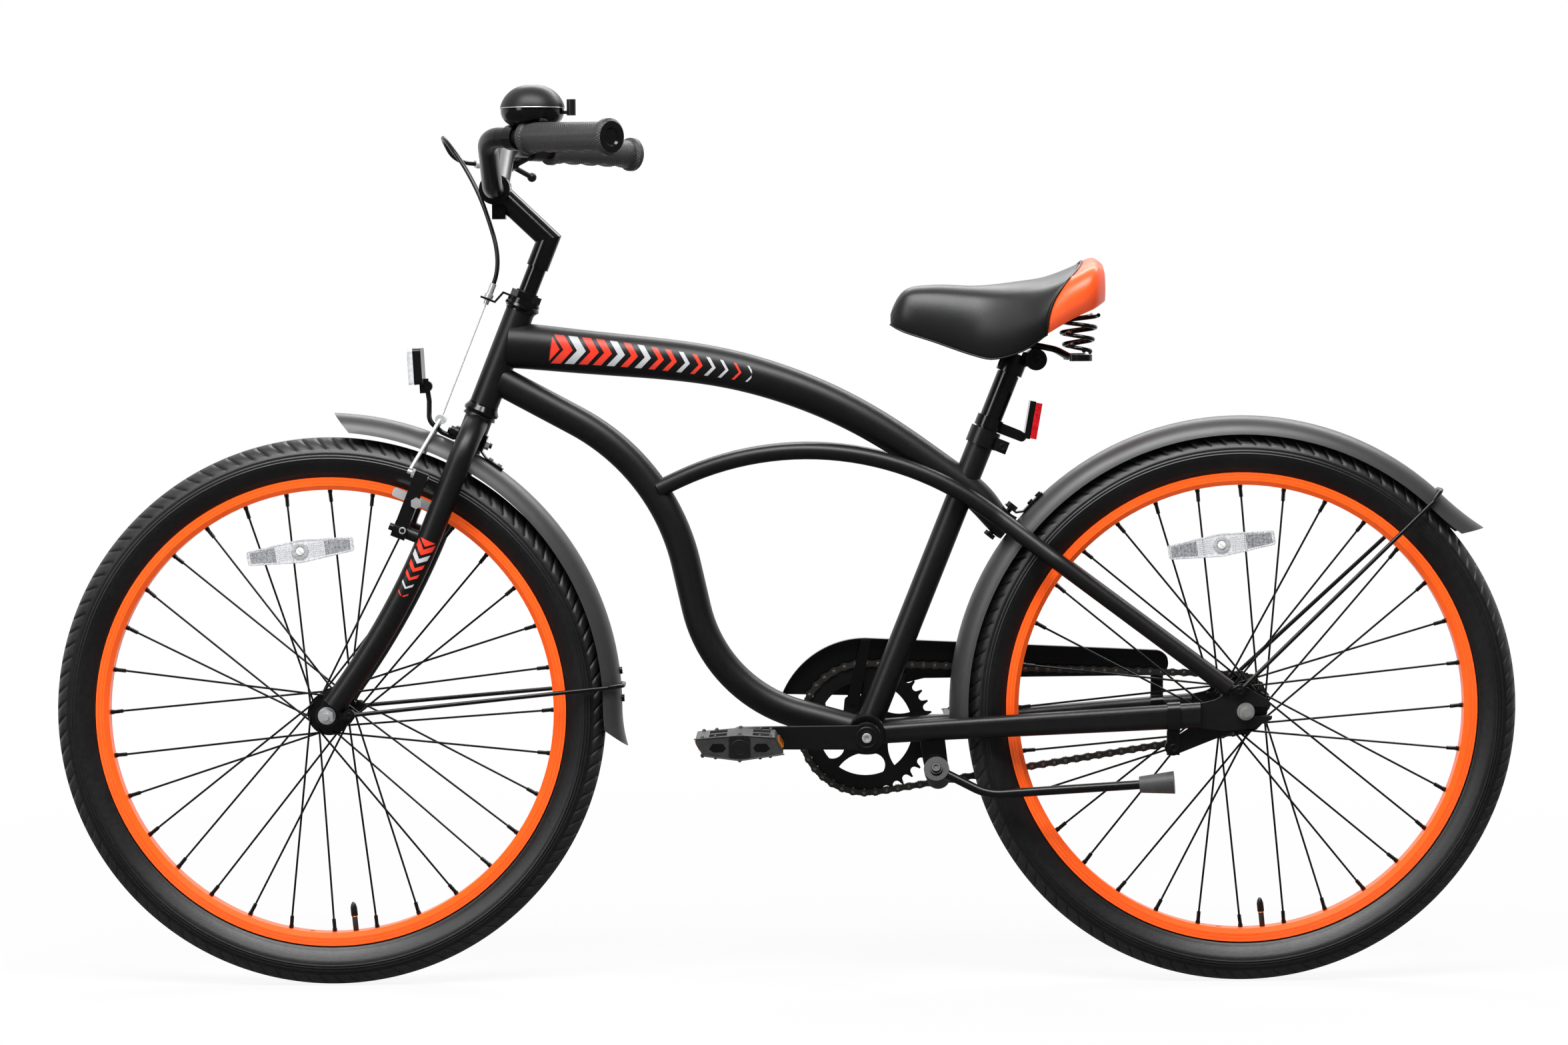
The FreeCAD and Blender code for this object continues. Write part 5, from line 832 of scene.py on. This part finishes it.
def tyreProfile():
    # half section from the bead to the crown: (y, radius, angle)
    s = tyreShape
    belly = s["radius"] - s["half"]
    rows = [(s["bead"], s["seat"], -90.0), (s["bead"], s["lip"], -60.0)]
    for share in (0.2, 0.4, 0.6, 0.8):
        y = s["bead"] + (s["half"] - s["bead"]) * share ** 0.8
        rows.append((y, s["lip"] + (belly - s["lip"]) * share ** 1.12, -40.0 + 40.0 * share))
    angles = [0.0]
    for at in s["ringAngles"]:
        w = s["ringWidth"] / 2
        angles += [at - w * 1.6, at - w * 0.5, at + w * 0.5, at + w * 1.6]
    angles += [24.0, s["cutStart"] - 1.5, s["cutStart"] + 1.5]
    angles += [38.0, 46.0, 54.0, 62.0, 70.0, s["cutEnd"] - 1.0, s["cutEnd"] + 1.5, 84.0, 90.0]
    for angle in angles:
        turn = radians(angle)
        onRing = any(abs(angle - at) < s["ringWidth"] * 0.3 for at in s["ringAngles"])
        reach = s["half"] + (s["ringHeight"] if onRing else 0.0)
        rows.append((reach * cos(turn), belly + reach * sin(turn), angle))
    return rows


def tyreColumns():
    # (turn, in a cut) round the wheel
    s = tyreShape
    pitch = 2 * pi / s["cuts"]
    wide = s["cutWidth"] / s["radius"]
    columns = []
    for base in [i * pitch for i in range(s["cuts"])]:
        columns += [(base, 0), (base + 0.22 * wide, 1), (base + 0.78 * wide, 1), (base + wide, 0)]
        columns += [(base + wide + (pitch - wide) * t, 0) for t in (0.33, 0.67)]
    return columns


def makeTyre(prefix, hubX, body):
    s = tyreShape
    half = tyreProfile()
    rows = [(-y, r, angle) for y, r, angle in half] + half[::-1][1:]
    columns = tyreColumns()
    start, end = s["cutStart"], s["cutEnd"]
    verts = []
    for y, r, angle in rows:
        along = min(max(angle - start, 0.0), end - start) / (end - start)
        lean = radians(s["cutLean"]) * sin(along * pi / 2)
        depth = s["cutDepth"] * (0.6 if angle < start + 2 or angle > end - 2 else 1.0)
        for turn, inCut in columns:
            reach, side = r, y
            if inCut and start < angle < end:
                reach -= depth * sin(radians(angle))
                side -= copysign(depth * cos(radians(angle)), y)
            x, z = reach * cos(turn + lean), reach * sin(turn + lean)
            verts.append(Vector((hubX + x, side, s["radius"] + z)) * mm)
    faces = gridFaces(len(rows), len(columns), True, True)
    piece = addPiece(prefix + "TyreTread", verts, faces, [finishes["tyreSide"], finishes["tyreTread"]], body)
    marks = []
    for row, following in zip(rows, rows[1:] + rows[:1]):
        onTread = min(row[2], following[2]) >= start - 2
        marks += [int(onTread)] * len(columns)
    piece.data.polygons.foreach_set("material_index", marks)
    fixNormals(piece)
    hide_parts(prefix + "_tyre")


def makeValve(prefix, hubX, body):
    s = valveShape
    turn = radians(s["turn"])
    way = Vector((cos(turn), 0, sin(turn)))
    root = Vector((hubX, 0, tyreShape["radius"])) + way * s["root"]
    for name, (key, profile) in s["parts"].items():
        verts, faces, _ = turned(profile, s["sides"], root, -way, 0, s["knurls"], s["knurl"])
        piece = addPiece(prefix + name, verts, faces, [finishes[key]], body)


for prefix, hubX in (("front", -505.0), ("rear", 505.0)):
    makeTyre(prefix, hubX, prefix + "_wheel")
    makeValve(prefix, hubX, prefix + "_wheel")
print("tyres cut")


# saddle: stations are (u from the nose, half width, bottom, top), the seam is (z, u)
saddleShape = {
    "nose": 118.0, "length": 236.0, "pan": 736.0, "rearPan": 745.5, "rearFrom": 172.0,
    "stations": (
        (0, 9, 731, 745), (12, 22, 724, 768), (45, 30, 713, 775), (91, 38, 697, 774), (113, 48, 693, 775),
        (146, 68, 703, 779), (170, 83, 720, 783), (200, 93, 738, 794), (222, 88, 748, 804),
        (234, 66, 756, 797),
    ),
    "edge": 0.86, "belt": 0.45, "shoulder": (0.72, 0.16),
    "seam": ((690, 169.0), (720, 169.0), (741, 171.0), (761, 178.5), (780, 193.0), (793, 206.0),
             (805, 214.5), (830, 226.0)),
    "seamRow": 30, "rows": 44, "around": 15, "inset": 2.6, "piping": 1.35, "hem": 1.1,
    "puff": 2.2, "pressure": 2.2, "stiffness": 18, "bending": 1.2, "steps": 20, "underside": 747.0,
}


def curveThrough(pairs, at):
    # smooth value between listed pairs
    xs = [p[0] for p in pairs]
    at = min(max(at, xs[0]), xs[-1])
    i = min(max(sum(x <= at for x in xs) - 1, 0), len(xs) - 2)
    h = xs[i + 1] - xs[i]
    t = (at - xs[i]) / h

    def slope(k):
        low, high = max(k - 1, 0), min(k + 1, len(pairs) - 1)
        return (pairs[high][1] - pairs[low][1]) / (xs[high] - xs[low])

    a, b = pairs[i][1], pairs[i + 1][1]
    return (a * (1 + 2 * t) * (1 - t) ** 2 + slope(i) * h * t * (1 - t) ** 2
            + b * t * t * (3 - 2 * t) + slope(i + 1) * h * t * t * (t - 1))


def arcPoints(first, middle, last, count):
    # points on the circle through three (y, z) places, first left out
    (ax, ay), (bx, by), (cx, cy) = first, middle, last
    a, b, c = ax * ax + ay * ay, bx * bx + by * by, cx * cx + cy * cy
    d = 2 * (ax * (by - cy) + bx * (cy - ay) + cx * (ay - by))
    ux = (a * (by - cy) + b * (cy - ay) + c * (ay - by)) / d
    uy = (a * (cx - bx) + b * (ax - cx) + c * (bx - ax)) / d
    r = hypot(ax - ux, ay - uy)
    start = atan2(ay - uy, ax - ux)
    sweep = (atan2(cy - uy, cx - ux) - start) % (2 * pi)
    via = (atan2(by - uy, bx - ux) - start) % (2 * pi)
    if via > sweep:
        sweep -= 2 * pi
    turns = [start + sweep * k / count for k in range(1, count + 1)]
    return [(ux + r * cos(turn), uy + r * sin(turn)) for turn in turns]


def station(u, column):
    return curveThrough([(p[0], p[column]) for p in saddleShape["stations"]], u)


def saddleSection(u):
    # half section from the lower edge over the side to the top middle
    s = saddleShape
    half, low, high = [station(u, column) for column in (1, 2, 3)]
    tall = high - low
    edge = (s["edge"] * half, low)
    belt = (half, low + s["belt"] * tall)
    shoulder = (s["shoulder"][0] * half, high - s["shoulder"][1] * tall)
    n = s["around"]
    outer = [edge] + arcPoints(edge, belt, shoulder, n)
    outer += arcPoints(shoulder, (0.0, high), (-shoulder[0], shoulder[1]), n)[: n // 2 + 1]
    outer[-1] = (0.0, high)
    return outer


def saddleGrid():
    # rows run from nose to tail, and bend so that one of them lies on the sewn seam
    s = saddleShape
    last = s["length"] - 2.0
    columns = len(saddleSection(last))
    grid = []
    for k in range(s["rows"]):
        row = []
        for j in range(columns):
            z = 760.0
            for _ in range(6):
                seamU = curveThrough(s["seam"], z)
                if k <= s["seamRow"]:
                    u = seamU * (1 - (1 - k / s["seamRow"]) ** 1.25)
                else:
                    u = seamU + (last - seamU) * (k - s["seamRow"]) / (s["rows"] - 1 - s["seamRow"])
                y, z = saddleSection(u)[j]
            row.append((u, y, z))
        grid.append(row)
    return grid


saddleRows = saddleGrid()


def saddleShell(name, rows, material):
    s = saddleShape
    verts = []
    for row in rows:
        # under the edge the skin turns in and runs up inside to the pan
        u, y, z = row[0]
        ceiling = max(s["pan"] if u < s["rearFrom"] else s["rearPan"], z + 4.0)
        inner = max(y - s["inset"], 1.0)
        inside = [(0.0, ceiling), (inner * 0.55, ceiling), (inner * 0.94, ceiling - 0.6),
                  (inner, ceiling - 3.0), (inner, z + 0.4)]
        profile = [(u, b, c) for b, c in inside] + row
        ring = profile + [(a, -b, c) for a, b, c in profile[1:-1]][::-1]
        verts += [Vector((s["nose"] + a, b, c)) * mm for a, b, c in ring]
    around = len(ring)
    faces = gridFaces(len(rows), around, False, True)
    faces += [face[::-1] for face in endFaces(len(rows), around)]
    piece = addPiece(name, verts, faces, [material], None)
    fixNormals(piece, True)
    return piece


def isSewn(spot):
    # on the seam between the covers, or where the skin turns in under the edge
    s = saddleShape
    u = spot.x - s["nose"]
    if abs(u - curveThrough(s["seam"], spot.z)) < 3.0 or spot.z < station(u, 2) + 5.0:
        return True
    return abs(spot.y) < s["edge"] * station(u, 1) - 1.0 and spot.z < s["underside"]


def puffUp(piece):
    # a short cloth run lets the padding swell between its sewn edges
    s = saddleShape
    mesh = piece.data
    before = [v.co.copy() for v in mesh.vertices]
    held = piece.vertex_groups.new(name="sewn")
    held.add([v.index for v in mesh.vertices if isSewn(v.co / mm)], 1.0, "REPLACE")
    cloth = piece.modifiers.new("padding", "CLOTH")
    settings = cloth.settings
    settings.vertex_group_mass = "sewn"
    settings.use_pressure = True
    settings.uniform_pressure_force = s["pressure"]
    settings.effector_weights.gravity = 0.0
    settings.quality = 6
    settings.tension_stiffness = settings.compression_stiffness = s["stiffness"]
    settings.bending_stiffness = s["bending"]
    cloth.point_cache.frame_start = 1
    cloth.point_cache.frame_end = s["steps"]
    for step in range(1, s["steps"] + 1):
        scene.frame_set(step)
    shaped = piece.evaluated_get(bpy.context.evaluated_depsgraph_get()).data
    after = [v.co.copy() for v in shaped.vertices]
    piece.modifiers.remove(cloth)
    scene.frame_set(1)
    cap = s["puff"] * mm
    most = 0.0
    for vertex, old, new in zip(mesh.vertices, before, after):
        shift = new - old
        if shift.length > cap:
            shift *= cap / shift.length
        most = max(most, shift.length)
        vertex.co = old + shift
    piece.vertex_groups.remove(held)
    mesh.update()
    print(piece.name, "swelled by up to", round(most / mm, 2), "mm")


def makeCover(name, rows, finishKey, node):
    piece = saddleShell(name, rows, finishes[finishKey])
    puffUp(piece)
    smooth = piece.modifiers.new("smooth", "SUBSURF")
    smooth.levels = smooth.render_levels = 1
    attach(piece, "seat")
    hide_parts(node)


def makePiping(name, line, radius):
    # line is the near half, in mm from the nose, which is mirrored to the far side
    line = [Vector((saddleShape["nose"] + u, y, z)) * mm for u, y, z in line]
    line += [Vector((p.x, -p.y, p.z)) for p in line[::-1] if p.y > 1e-9]
    piece = addPiece(name, *tubeMesh(line, radius * mm), [finishes["pipingVinyl"]], "seat")
    fixNormals(piece)


seamRow = saddleShape["seamRow"]
makeCover("saddleTop", saddleRows[:seamRow + 1], "saddleVinyl", "saddle_cushion")
makeCover("saddlePanel", saddleRows[seamRow:], "panelVinyl", "saddle_rear_panel")
hemLine = [(row[0][0], row[0][1] - 0.6, row[0][2] + 0.2) for row in saddleRows[seamRow::-1]]
makePiping("saddleSeamPiping", saddleRows[seamRow], saddleShape["piping"])
makePiping("saddleHemPiping", hemLine, saddleShape["hem"])
print("saddle sewn")


# brake cable housing
cableShape = {
    "route": (
        (-351.9, 155.5, 916.1), (-372.9, 140.1, 916.1), (-385.0, 92.0, 945.0), (-377.0, 60.0, 940.0),
        (-352.0, 35.0, 906.0), (-331.0, 19.0, 864.0), (-312.1, 0.0, 801.4), (-321.0, 0.0, 779.1),
    ),
    "radius": 2.5, "length": 0.301,
}


def makeCable():
    s = cableShape
    curve = bpy.data.curves.new("brakeCableHousing", "CURVE")
    curve.dimensions = "3D"
    spline = curve.splines.new("NURBS")
    spline.points.add(len(s["route"]) - 1)
    for point, place in zip(spline.points, s["route"]):
        point.co = [c * mm for c in place] + [1.0]
    spline.order_u = 3
    spline.use_endpoint_u = True
    spline.resolution_u = 16
    curve.bevel_depth = s["radius"] * mm
    curve.bevel_resolution = 5
    curve.use_fill_caps = True
    curve.materials.append(finishes["satinBlack"])
    piece = bpy.data.objects.new("brakeCableHousing", curve)
    scene.collection.objects.link(piece)
    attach(piece, "steering")
    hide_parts("brake_cable")


makeCable()
print("cable routed")


# stage and light; lamps are place, target, width, height and power
stageSettings = {
    "floorSize": 60.0, "floorColour": grey(0.62), "floorWhite": 0.9, "floorShine": 0.12,
    "fadeFrom": 0.9, "fadeTo": 2.4, "front": 0.05, "back": 0.35, "shineFront": 0.03, "shineBack": 1.0,
    "horizon": (-0.35, 0.75),
    "lamps": {
        "topSoftbox": ((-0.2, -1.7, 3.2), (0.0, 0.0, 0.5), 3.4, 1.3, 185.0),
        "leftSoftbox": ((-2.6, -2.4, 1.9), (-0.2, 0.0, 0.5), 1.0, 2.0, 36.0),
        "rearStrip": ((0.6, 1.8, 2.6), (0.0, 0.0, 0.5), 3.2, 0.7, 60.0),
    },
}


def rayKinds(tree):
    # rays that see the white behind the object, and rays of reflections
    rays = put(tree, "ShaderNodeLightPath").outputs
    return calc(tree, "MAXIMUM", rays["Is Camera Ray"], rays["Is Transmission Ray"]), rays["Is Glossy Ray"]


def makeFloor():
    s = stageSettings
    size = s["floorSize"]
    verts = [(-size, -size, 0), (size, -size, 0), (size, size, 0), (-size, size, 0)]
    fixed = {"Base Color": s["floorColour"], "Roughness": 0.9, "Specular IOR Level": 0.0}
    material, tree, shader = startMaterial("paleFloor", fixed)
    seen, glossy = rayKinds(tree)
    # the shadow stays near the object, and the floor runs out into the white behind it
    spot = objectSpot(tree)
    reach = put(tree, "ShaderNodeVectorMath", {0: spot}, operation="LENGTH").outputs["Value"]
    share = spread(tree, ramp(tree, reach, s["fadeFrom"], s["fadeTo"]), s["floorWhite"], 1.0)
    behind = ramp(tree, splitSpot(tree, spot)["Y"], s["fadeFrom"], s["fadeTo"])
    strength = calc(tree, "MAXIMUM", seen, spread(tree, behind, s["floorShine"], 1.0))
    white = put(tree, "ShaderNodeEmission", {"Color": grey(1.0), "Strength": strength})
    share = calc(tree, "MAXIMUM", times(tree, seen, share), glossy)
    mix = put(tree, "ShaderNodeMixShader", {0: share, 1: shader.outputs[0], 2: white.outputs[0]})
    tree.links.new(mix.outputs[0], tree.nodes["Material Output"].inputs["Surface"])
    floor = addPiece("floor", verts, [(0, 1, 2, 3)], [material], None)


def makeWorld():
    # white behind the object and dimmer on the camera's side, as in a studio
    s = stageSettings
    world = bpy.data.worlds.new("studio")
    scene.world = world
    world.use_nodes = True
    tree = world.node_tree
    tree.nodes.clear()
    way = splitSpot(tree, put(tree, "ShaderNodeTexCoord").outputs["Generated"])
    share = ramp(tree, way["Y"], *s["horizon"])
    seen, glossy = rayKinds(tree)
    shine = times(tree, glossy, spread(tree, share, s["shineFront"], s["shineBack"]))
    level = spread(tree, share, s["front"], s["back"])
    strength = calc(tree, "MAXIMUM", level, calc(tree, "MAXIMUM", seen, shine))
    sky = put(tree, "ShaderNodeBackground", {"Color": grey(1.0), "Strength": strength})
    tree.links.new(sky.outputs[0], put(tree, "ShaderNodeOutputWorld").inputs["Surface"])


def makeLamps():
    for name, (place, target, wide, tall, power) in stageSettings["lamps"].items():
        lamp = bpy.data.lights.new(name, "AREA")
        lamp.shape = "RECTANGLE"
        lamp.size, lamp.size_y, lamp.energy = wide, tall, power
        holder = bpy.data.objects.new(name, lamp)
        scene.collection.objects.link(holder)
        holder.location = place
        holder.rotation_euler = (Vector(target) - Vector(place)).to_track_quat("-Z", "Y").to_euler()


cameraSettings = {
    "place": (0.02653, -4.92691, 0.7661), "yaw": -0.3215, "pitch": -2.947, "roll": -0.3275, "lens": 102.077,
}


def makeCamera():
    s = cameraSettings
    yaw, pitch, roll = [radians(s[k]) for k in ("yaw", "pitch", "roll")]
    forward = Vector((sin(yaw) * cos(pitch), cos(yaw) * cos(pitch), sin(pitch)))
    level = Vector((cos(yaw), -sin(yaw), 0))
    upright = level.cross(forward)
    right = level * cos(roll) + upright * sin(roll)
    above = upright * cos(roll) - level * sin(roll)
    data = bpy.data.cameras.new("photoCamera")
    data.lens = s["lens"]
    data.sensor_width = 36.0
    data.sensor_fit = "HORIZONTAL"
    data.dof.use_dof = False
    data.clip_end = 200.0
    camera = bpy.data.objects.new("photoCamera", data)
    scene.collection.objects.link(camera)
    turn = Matrix((right, above, -forward)).transposed()
    camera.matrix_world = Matrix.Translation(Vector(s["place"])) @ turn.to_4x4()
    scene.camera = camera


makeFloor()
makeWorld()
makeLamps()
makeCamera()
scene.view_settings.view_transform = "Standard"
print("stage set")
